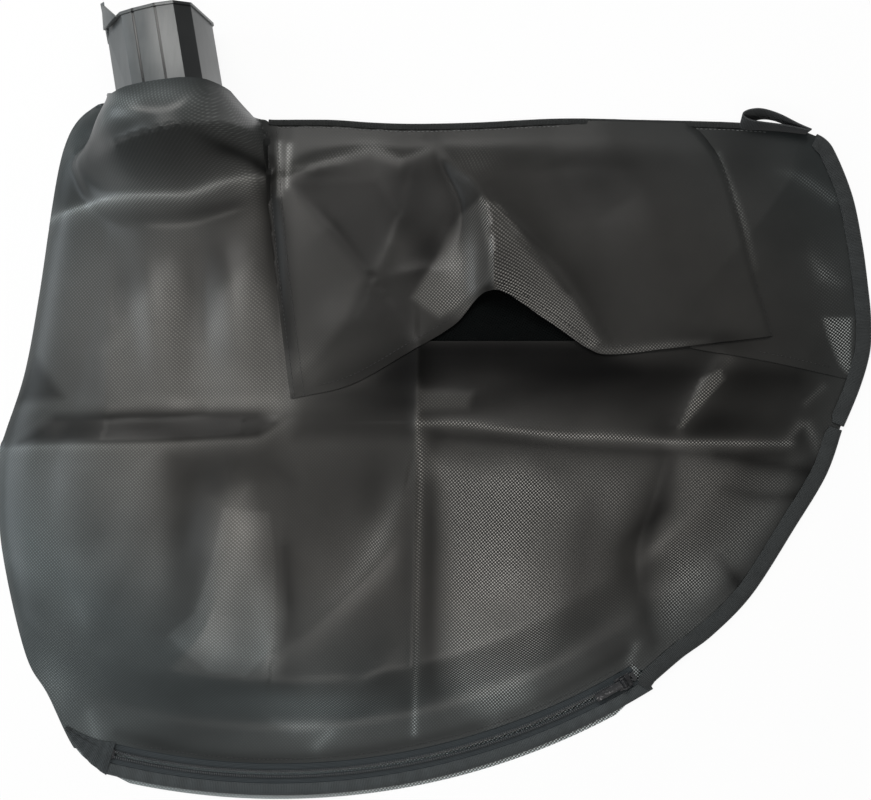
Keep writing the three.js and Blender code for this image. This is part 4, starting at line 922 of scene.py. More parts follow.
def repeated(name: str, master: Piece, poses: Sequence[Matrix]) -> Piece:
    """One piece made of many copies of a master, which is removed.

    Args:
        name: Name of the piece.
        master: The object that is copied, modelled about the origin in metres.
        poses: Where each copy goes.

    Returns:
        The joined copies.
    """
    places = np.array([v.co for v in master.data.vertices])
    faces = [tuple(polygon.vertices) for polygon in master.data.polygons]
    bpy.data.objects.remove(master)
    all_places, all_faces = [], []
    for number, pose in enumerate(poses):
        turn = np.array(pose.to_3x3())
        all_places.append(places @ turn.T + np.array(pose.translation))
        start = number * len(places)
        all_faces.extend(tuple(start + i for i in face) for face in faces)
    return rounded(mesh_object(name, np.vstack(all_places), all_faces), 60)


# Materials


def arithmetic(operation: str, turned: bool = False) -> Callable:
    """A method of Wire that adds a Math node.

    Args:
        operation: The node's operation.
        turned: Whether the wire is the last operand.

    Returns:
        The method.
    """
    def method(wire: "Wire", *others: object) -> "Wire":
        """The wire from the new node."""
        values = (*others, wire) if turned else (wire, *others)
        return wire.paint.node("ShaderNodeMath", {"operation": operation}, dict(enumerate(values)))

    return method


class Wire:
    """A socket in a material, with arithmetic that adds Math nodes."""

    def __init__(self, paint: "Paint", socket: bpy.types.NodeSocket) -> None:
        """Keeps the socket and the material that it belongs to."""
        self.paint = paint
        self.socket = socket

    __add__ = __radd__ = arithmetic("ADD")
    __sub__ = arithmetic("SUBTRACT")
    __rsub__ = arithmetic("SUBTRACT", turned=True)
    __mul__ = __rmul__ = arithmetic("MULTIPLY")
    __truediv__ = arithmetic("DIVIDE")
    __pow__ = arithmetic("POWER")
    __gt__ = arithmetic("GREATER_THAN")
    __lt__ = arithmetic("LESS_THAN")
    sine = arithmetic("SINE")
    size = arithmetic("ABSOLUTE")

    def clipped(self) -> "Wire":
        """The value held between 0 and 1."""
        return self.paint.node("ShaderNodeClamp", {}, {"Value": self})


class Paint:
    """A material under construction."""

    def __init__(self, name: str) -> None:
        """Starts a material with a Principled shader."""
        self.material = bpy.data.materials.new(name)
        self.material.use_nodes = True
        self.tree = self.material.node_tree
        self.shader = self.tree.nodes["Principled BSDF"]

    def node(self, kind: str, settings: dict, values: dict, output: object = 0) -> Wire:
        """Any node.

        Args:
            kind: The node's type.
            settings: Attributes of the node, set first.
            values: Numbers, colours or wires for its inputs, by number or name.
            output: Number or name of the output that is used.

        Returns:
            The wire from that output.
        """
        made = self.tree.nodes.new(kind)
        for name, value in settings.items():
            setattr(made, name, value)
        for key, value in values.items():
            self.feed(made.inputs[key], value)
        return Wire(self, made.outputs[output])

    def feed(self, socket: bpy.types.NodeSocket, value: object) -> None:
        """Links a wire to a socket, or sets its plain value."""
        if isinstance(value, Wire):
            self.tree.links.new(value.socket, socket)
        else:
            socket.default_value = value

    def place(self, turn: float = 0.0) -> tuple[Wire, Wire, Wire]:
        """Object coordinates in millimetres, turned about Z.

        Args:
            turn: Degrees that the pattern is turned.

        Returns:
            X, Y and Z.
        """
        source = self.node("ShaderNodeTexCoord", {}, {}, "Object")
        angles = (0, 0, math.radians(turn))
        turned = self.node("ShaderNodeMapping", {},
                           {"Vector": source, "Rotation": angles, "Scale": (1 / MM,) * 3})
        split = self.node("ShaderNodeSeparateXYZ", {}, {0: turned})
        outputs = split.socket.node.outputs
        return tuple(Wire(self, outputs[k]) for k in range(3))

    def along(self) -> tuple[Wire, Wire]:
        """The piece's own U and V in millimetres."""
        source = self.node("ShaderNodeUVMap", {"uv_map": "along"}, {})
        split = self.node("ShaderNodeSeparateXYZ", {}, {0: source})
        outputs = split.socket.node.outputs
        return Wire(self, outputs[0]) / MM, Wire(self, outputs[1]) / MM

    def cloud(self, scale: float, detail: float = 3.0, stretch: tuple = (1, 1, 1)) -> Wire:
        """Noise over the object, with its grain size in millimetres."""
        source = self.node("ShaderNodeTexCoord", {}, {}, "Object")
        sized = tuple(s / (scale * MM) for s in stretch)
        mapped = self.node("ShaderNodeMapping", {}, {"Vector": source, "Scale": sized})
        return self.node("ShaderNodeTexNoise", {}, {"Vector": mapped, "Scale": 1.0, "Detail": detail})

    def attribute(self, name: str) -> Wire:
        """A number stored on the mesh."""
        return self.node("ShaderNodeAttribute", {"attribute_name": name}, {}, "Fac")

    def mix(self, share: object, low: tuple, high: tuple) -> Wire:
        """A colour between two, by a share."""
        return self.node("ShaderNodeMix", {"data_type": "RGBA"}, {0: share, 6: (*low, 1), 7: (*high, 1)}, 2)

    def scaled(self, colour: Wire, share: Wire) -> Wire:
        """A colour made paler or darker."""
        return self.node("ShaderNodeVectorMath", {"operation": "SCALE"}, {0: colour, "Scale": share})

    def bump(self, height: Wire, depth: float) -> None:
        """Feeds a relief of the given depth in millimetres to the shader's normal."""
        relief = self.node("ShaderNodeBump", {}, {"Height": height, "Distance": depth * MM, "Strength": 1.0})
        self.feed(self.shader.inputs["Normal"], relief)

    def set(self, **values: object) -> None:
        """Sets or links the shader's own sockets, with _ for a space in their names."""
        for name, value in values.items():
            self.feed(self.shader.inputs[name.replace("_", " ")], value)


@dataclass(frozen=True)
class Finish:
    """A finish that pieces can wear."""

    name: str

    def lay(self, paint: Paint) -> None:
        """Lays the finish on a material."""
        raise NotImplementedError

    def material(self) -> Material:
        """The finish as a material."""
        paint = Paint(self.name)
        self.lay(paint)
        return paint.material


@dataclass(frozen=True)
class WovenCloth(Finish):
    """Coated plain weave: raised crossings of thick yarns with painted glints, over a dark ground, with
    painted light and shade stored on the mesh.
    """

    tint: tuple = (1.03, 1.0, 0.94)
    cool_light_tint: tuple = (0.84, 0.965, 0.98)
    full: float = 0.105
    yarn: float = 1.3
    turn: float = 0.0
    depth: float = 0.09
    gloss: float = 0.31
    sheen_from: float = 0.30
    sheen_rise: float = 0.75
    specular: float = 0.10
    grain: float = 2.2
    patch: float = 38.0
    gamma: float = 2.2
    crisp: tuple = (100.0, 0.008, 0.8, 0.3)
    contrast: tuple = (2.2, 1.1, 4.5)
    painted_glint: float = 0.22
    cool_middle: tuple = (10.0, 20.0)
    cool_reach: tuple = (270.0, 190.0)
    cool: tuple = (0.7, 0.9)

    def lay(self, paint: Paint) -> None:
        """Lays the finish on a material."""
        x, y, z = paint.place(self.turn)
        beat = math.pi / self.yarn
        uneven = paint.cloud(self.grain, 1.0)
        weave = ((x + z * 0.5) * beat + uneven).sine() * ((y + z * 0.5) * beat + uneven).sine()
        crossing = (weave * 0.5 + 0.5).clipped()
        worn = paint.cloud(self.patch)
        # painted light and shade from the mesh sets how pale the cloth is
        painted_light = paint.attribute("painted_light")
        level = painted_light ** self.gamma * self.full
        # painted glints: the weave's crossings are painted paler, more so to the right and where the painted
        # light is bright
        shift, rise, gain, least = self.crisp
        crisp = ((x + shift) * rise).clipped() * gain + least
        steep, dark, strong = self.contrast
        contrast = (painted_light * steep - dark).clipped() * crisp
        weight = level * (1 + (crossing ** 3 - self.painted_glint) * contrast * strong + (worn - 0.5) * 0.4)
        # painted light: the colour turns cooler towards the bag's rim, for the cool window light there
        out_x = (x - self.cool_middle[0]) / self.cool_reach[0]
        out_y = (y - self.cool_middle[1]) / self.cool_reach[1]
        cool = ((out_x * out_x + out_y * out_y - self.cool[0]) * self.cool[1]).clipped()
        tint = paint.mix(cool, self.tint, self.cool_light_tint)
        colour = paint.scaled(tint, weight)
        rough = self.gloss + (1 - crossing) * 0.14 + (worn - 0.5) * 0.14
        paint.bump(crossing * (contrast * 0.9 + 0.2), self.depth)
        shine = ((painted_light - self.sheen_from) * self.sheen_rise).clipped()
        paint.set(Base_Color=colour, Roughness=rough, Specular_IOR_Level=self.specular,
                  Coat_Weight=shine, Coat_Roughness=self.gloss)


@dataclass(frozen=True)
class RibbedTape(Finish):
    """Woven tape whose ribs lie across its length."""

    low: tuple = (0.012, 0.0135, 0.014)
    high: tuple = (0.044, 0.049, 0.050)
    rib: float = 1.1
    depth: float = 0.35

    def lay(self, paint: Paint) -> None:
        """Lays the finish on a material."""
        u, v = paint.along()
        waver = paint.cloud(6, 2.0) * 1.2
        rib = (u * (math.pi / self.rib) + waver).sine().size()
        yarn = (v * (math.pi / 0.5) + u * 2.0).sine() * 0.5 + 0.5
        share = (rib * 0.65 + yarn * 0.15 + (paint.cloud(15) - 0.5) * 0.5).clipped()
        paint.bump(rib + yarn * 0.2, self.depth)
        paint.set(Base_Color=paint.mix(share, self.low, self.high), Roughness=0.85 - rib * 0.12,
                  Specular_IOR_Level=0.3, Sheen_Weight=0.1, Sheen_Roughness=0.5)


@dataclass(frozen=True)
class ZipTape(Finish):
    """Fine tape beside the coil, with cords that follow the zip's arc."""

    low: tuple = (0.014, 0.018, 0.020)
    high: tuple = (0.044, 0.053, 0.058)

    def lay(self, paint: Paint) -> None:
        """Lays the finish on a material."""
        x, y, _ = paint.place()
        centre = ZIP_JOINT["pos_m"]
        dx, dy = x - centre[0] / MM, y - centre[1] / MM
        radius = (dx * dx + dy * dy) ** 0.5
        angle = paint.node("ShaderNodeMath", {"operation": "ARCTAN2"}, {0: dy, 1: dx})
        cord = (radius * (math.pi / 1.1)).sine().size()
        cross = (angle * (ZIP_RADIUS * math.pi / 0.7)).sine().size()
        share = (cord * 0.5 + cross * 0.3 + (paint.cloud(20) - 0.5) * 0.3).clipped()
        paint.bump(cord + cross * 0.5, 0.2)
        paint.set(Base_Color=paint.mix(share, self.low, self.high), Roughness=0.8 - cord * 0.1,
                  Specular_IOR_Level=0.3)


@dataclass(frozen=True)
class Netting(Finish):
    """Fine black netting with a hole in each cell, its colour darkened further as painted shade under the
    flap, with painted glints on its strands.
    """

    cell: float = 1.8
    hole_from: float = 0.72
    colour: tuple = (0.0008, 0.0012, 0.0013)
    painted_glint: tuple = (0.003, 0.004, 0.004)

    def lay(self, paint: Paint) -> None:
        """Lays the finish on a material."""
        x, y, _ = paint.place(30)
        beat = math.pi / self.cell
        wide, long = (x * beat).sine().size(), (y * beat).sine().size()
        hole = (wide * long) > self.hole_from
        strand = (1 - wide * long).clipped()
        paint.bump(strand, 0.3)
        # painted glints: strands are paler in cloudy patches
        colour = paint.mix((paint.cloud(25) * strand).clipped(), self.colour, self.painted_glint)
        paint.set(Base_Color=colour, Roughness=0.7 + paint.cloud(12) * 0.2, Alpha=1 - hole,
                  Specular_IOR_Level=0.06)


@dataclass(frozen=True)
class MouldedPlastic(Finish):
    """Grey-black moulded plastic with drawn marks along its length and small scuffs, with painted shade in
    its grooves and a painted dark reflection on one chamfer.
    """

    dark: tuple = (0.060, 0.065, 0.066)
    light: tuple = (0.125, 0.132, 0.133)
    gloss: float = 0.30
    painted_shade: float = 0.75
    grooves: tuple = (3.75, -12.75)
    groove_half: float = 1.0
    groove_from_z: float = 62.0
    chamfer: tuple = (16.9, 27.9)
    chamfer_from_z: float = 50.0

    def painted_shade_mask(self, paint: Paint) -> Wire:
        """Where shade is painted: 1 in the grooves on the neck's top and on its shaded chamfer, or else 0.
        """
        x, y, z = paint.place()
        rim = to_frame([(*NECK_PLACE, 0.0)])[0] / MM
        across = (x - rim[0]) * math.cos(NECK_LEAN) + (y - rim[1]) * math.sin(NECK_LEAN)
        painted_shade = [(across - groove).size() < self.groove_half for groove in self.grooves]
        chamfer = (across > self.chamfer[0]) * (across < self.chamfer[1]) * (z > self.chamfer_from_z)
        return ((painted_shade[0] + painted_shade[1]) * (z > self.groove_from_z) + chamfer).clipped()

    def lay(self, paint: Paint) -> None:
        """Lays the finish on a material."""
        streak = paint.cloud(3.0, 4.0, (1, 0.05, 1))
        grain = paint.cloud(0.9, 2.0)
        smudge = paint.cloud(22)
        # painted shade darkens the grooves and the chamfer
        unshaded = 1 - self.painted_shade_mask(paint) * self.painted_shade
        share = (streak * 0.5 + smudge * 0.6 - 0.1).clipped() * unshaded
        paint.bump(grain * 0.6 + streak * 0.6, 0.05)
        plastic = paint.mix(share, self.dark, self.light)
        colour = paint.scaled(plastic, unshaded)
        paint.set(Base_Color=colour, Roughness=self.gloss + (smudge - 0.5) * 0.2 + grain * 0.06,
                  Specular_IOR_Level=0.42)


@dataclass(frozen=True)
class Nylon(Finish):
    """Smooth dark nylon, for the coil's turns and the sewing thread."""

    low: tuple = (0.025, 0.027, 0.029)
    high: tuple = (0.060, 0.064, 0.068)
    rough: float = 0.45

    def lay(self, paint: Paint) -> None:
        """Lays the finish on a material."""
        patch = paint.cloud(5)
        paint.bump(paint.cloud(0.4, 2.0), 0.04)
        paint.set(Base_Color=paint.mix(patch, self.low, self.high),
                  Roughness=self.rough + patch * 0.15)


@dataclass(frozen=True)
class DarkMetal(Finish):
    """Blackened metal, worn bright in places."""

    dark: tuple = (0.022, 0.023, 0.025)
    worn: tuple = (0.12, 0.12, 0.125)

    def lay(self, paint: Paint) -> None:
        """Lays the finish on a material."""
        wear = ((paint.cloud(1.6, 4.0) - 0.56) * 6).clipped()
        paint.bump(paint.cloud(0.5, 3.0), 0.03)
        paint.set(Base_Color=paint.mix(wear, self.dark, self.worn), Metallic=wear * 0.3 + 0.6,
                  Roughness=0.46 - wear * 0.14)


class Finishes:
    """Every finish of the bag, made once."""

    def __init__(self) -> None:
        """Makes the materials."""
        self.panel = WovenCloth("panel_cloth", turn=4).material()
        self.flap = WovenCloth("flap_cloth", turn=-5, gloss=0.34).material()
        self.back = WovenCloth("back_cloth", turn=-2, tint=(0.92, 0.97, 1.0)).material()
        self.tape = RibbedTape("binding_tape").material()
        self.band = RibbedTape("zip_band_tape", (0.026, 0.030, 0.031), (0.058, 0.066, 0.069),
                               rib=1.2, depth=0.22).material()
        self.tail = RibbedTape("zip_tail_tape", (0.014, 0.018, 0.020), (0.046, 0.053, 0.055)).material()
        self.piping = RibbedTape("top_piping", (0.006, 0.007, 0.007), (0.018, 0.020, 0.020)).material()
        self.webbing = RibbedTape("loop_webbing", high=(0.060, 0.063, 0.066)).material()
        self.zip_tape = ZipTape("zip_tape").material()
        self.net = Netting("vent_netting").material()
        self.plastic = MouldedPlastic("neck_plastic").material()
        self.coil = Nylon("coil_nylon").material()
        self.thread = Nylon("sewing_thread", (0.04, 0.042, 0.043), (0.16, 0.165, 0.165), 0.6).material()
        self.dark_thread = Nylon("dark_thread", (0.006, 0.006, 0.006), (0.02, 0.02, 0.02)).material()
        self.metal = DarkMetal("zip_metal").material()


def wear(obj: Piece, material: Material) -> Piece:
    """Gives a piece its one material."""
    obj.data.materials.clear()
    obj.data.materials.append(material)
    return obj


class Body(Enum):
    """Bodies of the frame that pieces ride on."""

    BAG = "bag"
    SLIDER = "slider"
    PULL = "pull"


class Slot(Enum):
    """Material slots of the record."""

    CLOTH = "bag_cloth"
    FLAP = "flap_cloth"
    NET = "vent_net"
    BINDING = "binding_tape"
    ZIP_TAPE = "zip_tape"
    COIL = "zip_coil"
    METAL = "zip_metal"
    PLASTIC = "neck_plastic"
    WEBBING = "webbing"


def settle(obj: Piece, material: Material, slot: Slot, *nodes: str,
           body: Body = Body.BAG) -> Piece:
    """Gives a piece its material and body, in place of CAD nodes."""
    wear(obj, material)
    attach(obj, body.value)
    if nodes:
        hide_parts(*nodes)
    log.info("%s: %d faces on %s", obj.name, len(obj.data.polygons), body.value)
    return obj


@dataclass
class Part:
    """A part of the bag, which is built and then dressed."""

    finishes: Finishes
    built: dict = field(default_factory=dict)

    def build(self) -> None:
        """Makes the part's pieces."""
        raise NotImplementedError

    def dress(self) -> None:
        """Gives the pieces their finishes and bodies."""
        raise NotImplementedError

    def make(self) -> None:
        """Builds and dresses the part."""
        self.build()
        self.dress()
        log.info("%s dressed", type(self).__name__)


# Steps of the panels' mesh: fine along the fold lines
FINE = 1.2
MEDIUM = 1.8
PLAIN = 2.8


@dataclass
class Panels(Part):
    """The front and back panels."""

    flat: tuple[float, float] = (0.662, 0.53)
    front_level: float = 0.64
    back_level: float = 1.35

    def build(self) -> None:
        """Makes both panels as thin closed sheets."""
        edges = BAG.edges["fine"]
        columns = lines((-335, -292, PLAIN), (-292, -118, MEDIUM), (-118, -28, PLAIN), (-28, -6, FINE),
                        (-6, 335, PLAIN))
        rows = lines((-300, -45, PLAIN), (-45, -10, FINE), (-10, 120, PLAIN), (120, 240, MEDIUM))
        front = without_corner(edges["front"], VENT_LEFT_SEAM, VENT_HEM)
        self.built["front"] = cloth_sheet("front_cloth", front, BAG.front, (columns, rows), relax=6)
        coarse = lines((-335, 335, 6.0)), lines((-300, 150, 6.0), (150, 236, 3.0))
        self.built["back"] = cloth_sheet("back_cloth", edges["back"], BAG.back, coarse, relax=3)

    def dress(self) -> None:
        with_painted_light(self.built["front"], self.front_level, FRONT_LIGHT_AND_SHADE)
        with_painted_light(self.built["back"], self.back_level, BACK_PAINTED_SHADE)
        front = settle(self.built["front"], self.finishes.panel, Slot.CLOTH, "front_panel")
        back = settle(self.built["back"], self.finishes.back, Slot.CLOTH, "back_panel")


@dataclass
class DustFlap(Part):
    """The flap over the vent, its folded pleat, and the netting under it."""

    level: float = 0.50
    pleat_rise: float = 2.6
    pleat_roll: float = 5.0
    pleat_near: tuple = (60, 110)
    pleat_from: float = 198.0
    pleat_left: tuple = ((196.0, 209.0), (190.0, 60.0))
    high: float = 150.0

    def upper(self, x: Array, y: Array) -> Array:
        """Underside of the upper layer, which rolls down at the pleat's fold."""
        away = nearest(smooth(PLEAT_FOLD, 6), x, y)[0]
        roll = np.sqrt(np.clip(1 - np.clip(1 - away / self.pleat_roll, 0, 1) ** 2, 0, 1))
        near = 1 - bend(away, *self.pleat_near)
        return BAG.flap(x, y) + self.pleat_rise * near * roll

    def build(self) -> None:
        """Makes the flap's two layers and the netting."""
        bound = aside(BAG.edges["fine"]["bound"], EDGE_INSET)
        seam = smooth(FLAP_LEFT_SEAM, 3)
        fold = smooth(PLEAT_FOLD, 3)
        top_from, top_to = FLAP_LEFT_SEAM[0][0] + 1, PLEAT_FOLD[-1][0]
        top = bound[(bound[:, 1] > self.high) & (bound[:, 0] < top_to) & (bound[:, 0] > top_from)]
        hem = smooth([FLAP_LEFT_SEAM[-1], *FLAP_HEM], 3)
        outline = np.vstack([hem, fold[1:], top, seam[:-1]])
        grid = lines((-140, 335, 2.2)), lines((-5, 225, 2.2))
        self.built["flap"] = cloth_sheet("dust_flap_cloth", outline, self.upper, grid, relax=2)
        right = bound[(bound[:, 1] > PLEAT_HEM[-1][1]) & (bound[:, 0] > self.high)]
        right = right[~((right[:, 0] < self.pleat_from) & (right[:, 1] > self.high))]
        pleat = np.vstack([self.pleat_left, smooth(PLEAT_HEM, 3), right])
        self.built["pleat"] = cloth_sheet("dust_flap_pleat", pleat, BAG.flap, grid)
        vent = BAG.edges["fine"]["front"]
        inside = (vent[:, 0] > VENT_LEFT_SEAM - HEM_OVERLAP) & (vent[:, 1] > VENT_HEM - HEM_OVERLAP)
        corner = [(VENT_LEFT_SEAM - HEM_OVERLAP, VENT_HEM - HEM_OVERLAP)]
        grid = lines((-125, 335, 5)), lines((30, 225, 5))
        outline = np.vstack([vent[inside], corner])
        self.built["net"] = cloth_sheet("vent_netting", outline, BAG.vent, grid, thickness=0.4)

    def dress(self) -> None:
        with_painted_light(self.built["flap"], self.level, FLAP_LIGHT_AND_SHADE)
        with_painted_light(self.built["pleat"], self.level, FLAP_LIGHT_AND_SHADE)
        flap = settle(self.built["flap"], self.finishes.flap, Slot.FLAP, "dust_flap")
        pleat = settle(self.built["pleat"], self.finishes.flap, Slot.FLAP)
        net = settle(self.built["net"], self.finishes.net, Slot.NET, "vent_mesh")


@dataclass
class Neck(Part):
    """The moulded neck with its latch fin, and the cloth's sleeve round it."""

    edge_round: float = 0.7
    section: tuple = (
        (-0.43, 0), (0.43, 0), (0.77, 0.075), (0.97, 0.26), (0.74, 0.85), (0.45, 0.98), (0.1, 1),
        (-0.34, 0.967), (-0.575, 0.933), (-1, 0.63), (-1, 0.36), (-0.8, 0.12),
    )
    fin_from_z: float = 38.0
    fin_outside: float = -39.5
    fin_reach: float = 12.0
    fin_shift: tuple = (5.8, 15.9, 2.0)
    fin_corners: tuple = ((-240.2, 285.2, 53.0), (-227.5, 273.0, 66.0), (-239.6, 267.4, 50.0))
    fin_thick: float = 2.4
    sleeve_rings: tuple = (
        (0.4, 61.5, 0.0), (1.4, 61.0, 0.0), (1.6, 63.0, 0.3), (1.8, 66.0, 1.0), (1.8, 73.0, 1.0),
    )
    sleeve_swell: float = 9.0

    def pose(self) -> Matrix:
        """The neck's own frame: X across, Y out of the bag, Z up from its floor."""
        turn = Matrix.Rotation(NECK_LEAN, 4, "Z") @ Matrix.Rotation(-NECK_PITCH, 4, "X")
        place = to_frame([(*NECK_PLACE, RIM_BEAD * math.cos(NECK_PITCH))])[0]
        return Matrix.Translation(Vector(place)) @ turn

    def build(self) -> None:
        """Makes the shell with its fin moved and its edges rounded, the fin's web, and the sleeve."""
        shell = copied("neck_shell", "neck_connector", 0.02, 0.6)
        edited(bpy.ops.mesh.select_all, action="DESELECT")
        own = self.pose().inverted()
        for vertex in shell.data.vertices:
            x, y, z = own @ vertex.co / MM
            vertex.select = x < self.fin_outside and y > -self.fin_reach and z > self.fin_from_z
        bpy.ops.object.mode_set(mode="EDIT")
        bpy.ops.transform.translate(value=Vector(self.fin_shift) * MM)
        bpy.ops.object.mode_set(mode="OBJECT")
        self.built["shell"] = rounded(bevelled(shell, self.edge_round, angle=9, segments=3), 30)
        self.built["fin"] = self.fin()
        self.built["sleeve"] = self.sleeve()

    def fin(self) -> Piece:
        """The latch fin's thin web, in front of the rim's left shoulder."""
        deselect()
        bpy.ops.mesh.primitive_circle_add(vertices=3, radius=0.01, fill_type="NGON")
        web = bpy.context.object
        web.name = "latch_fin"
        for vertex, place in zip(web.data.vertices, to_frame(self.fin_corners)):
            vertex.co = place
        finished(web, "SOLIDIFY", thickness=self.fin_thick * MM, offset=0.0)
        return rounded(bevelled(outward(web), 0.5))

    def sleeve(self) -> Piece:
        """The cloth drawn in round the neck under the front panel's hem."""
        corners = np.array(self.section, float) * (NECK_WIDTH / 2, NECK_HEIGHT)
        ring = evenly(np.vstack([corners, corners[:1]]), 2.0)[:-1]
        before, after = np.roll(ring, 1, axis=0), np.roll(ring, -1, axis=0)
        along = after - before
        along /= np.linalg.norm(along, axis=1)[:, None]
        out = np.column_stack([along[:, 1], -along[:, 0]])
        high = bend(ring[:, 1], NECK_HEIGHT * 0.25, NECK_HEIGHT * 0.9)
        places, faces = [], []
        for margin, inward, swell in self.sleeve_rings:
            grown = ring + out * (margin + swell * self.sleeve_swell * high)[:, None]
            places.append(np.column_stack([grown[:, 0], np.full(len(ring), -inward), grown[:, 1]]))
        count = len(ring)
        for first in range(0, (len(places) - 1) * count, count):
            for k in range(count):
                near, far = first + k, first + (k + 1) % count
                faces.append((near, near + count, far + count, far))
        turn = np.array(self.pose())
        points = np.vstack(places) * MM @ turn[:3, :3].T + turn[:3, 3]
        sleeve = mesh_object("neck_sleeve", points, faces)
        return rounded(finished(sleeve, "SOLIDIFY", thickness=0.8 * MM, offset=-1.0), 60)

    def dress(self) -> None:
        """Gives the neck its plastic and the sleeve its cloth."""
        settle(self.built["shell"], self.finishes.plastic, Slot.PLASTIC, "neck_connector")
        settle(self.built["fin"], self.finishes.plastic, Slot.PLASTIC)
        sleeve = settle(with_painted_light(self.built["sleeve"], 0.5, []), self.finishes.panel, Slot.CLOTH)


@dataclass
class Binding:
    """One run of ribbed tape folded round the cloth's edges."""

    name: str
    node: str
    path: Array
    width: float
    top: Height
    material: Material
    thick: float = 0.9
    taper: float = 5.0
    end_share: float = 0.82
    section: tuple = ((1, 1.0), (0.66, 1.05), (0.33, 1.0), (0.1, 0.9), (0.0, 0.5), (0.1, 0.06), (1, 0.05))
    puckers_from: float = 0.8
    built: Piece | None = None

    def build(self) -> None:
        """Sweeps the folded section along the edge."""
        path = evenly(self.path, 2.5)
        run = run_of(path)
        pucker = 0.35 * np.sin(run * 0.55) + 0.25 * np.sin(run * 0.23 + 1)
        rows = []
        tapered = self.end_share + (1 - self.end_share) * bend(np.minimum(run, run[-1] - run), 0, self.taper)
        for share, height in self.section:
            side = aside(path, share * self.width * tapered)
            high = self.top(*side.T) + pucker * (height > self.puckers_from)
            rows.append(np.column_stack([side, high * height]))
        self.built = taped(self.name, path, rows, self.thick)

    def dress(self) -> None:
        """Gives the run its tape."""
        settle(self.built, self.material, Slot.BINDING, self.node)


@dataclass
class Bindings(Part):
    """The three runs of tape on the bag's edges."""

    lower_start: tuple = (161.5, -219.5)
    top_share: float = 0.55
    runs: list = field(default_factory=list)

    def build(self) -> None:
        """Makes the runs."""
        edges = BAG.edges["fine"]
        on_front, on_flap = Above(BAG.front, LAYER + BINDING_LIP), Above(BAG.flap, LAYER + BINDING_LIP)
        tape = self.finishes.tape
        lower, upper = np.vstack([self.lower_start, edges["lower"]]), edges["upper"][:-4]
        top_width = TOP_BINDING_WIDTH * self.top_share
        self.runs = [
            Binding("binding_lower", "side_binding_lower", lower, BINDING_WIDTH, on_front, tape),
            Binding("binding_upper", "side_binding_upper", upper, BINDING_WIDTH, on_flap, tape),
            Binding("binding_top", "top_binding", edges["top"], top_width, on_flap, self.finishes.piping),
        ]
        for run in self.runs:
            run.build()

    def dress(self) -> None:
        """Dresses the runs."""
        for run in self.runs:
            run.dress()


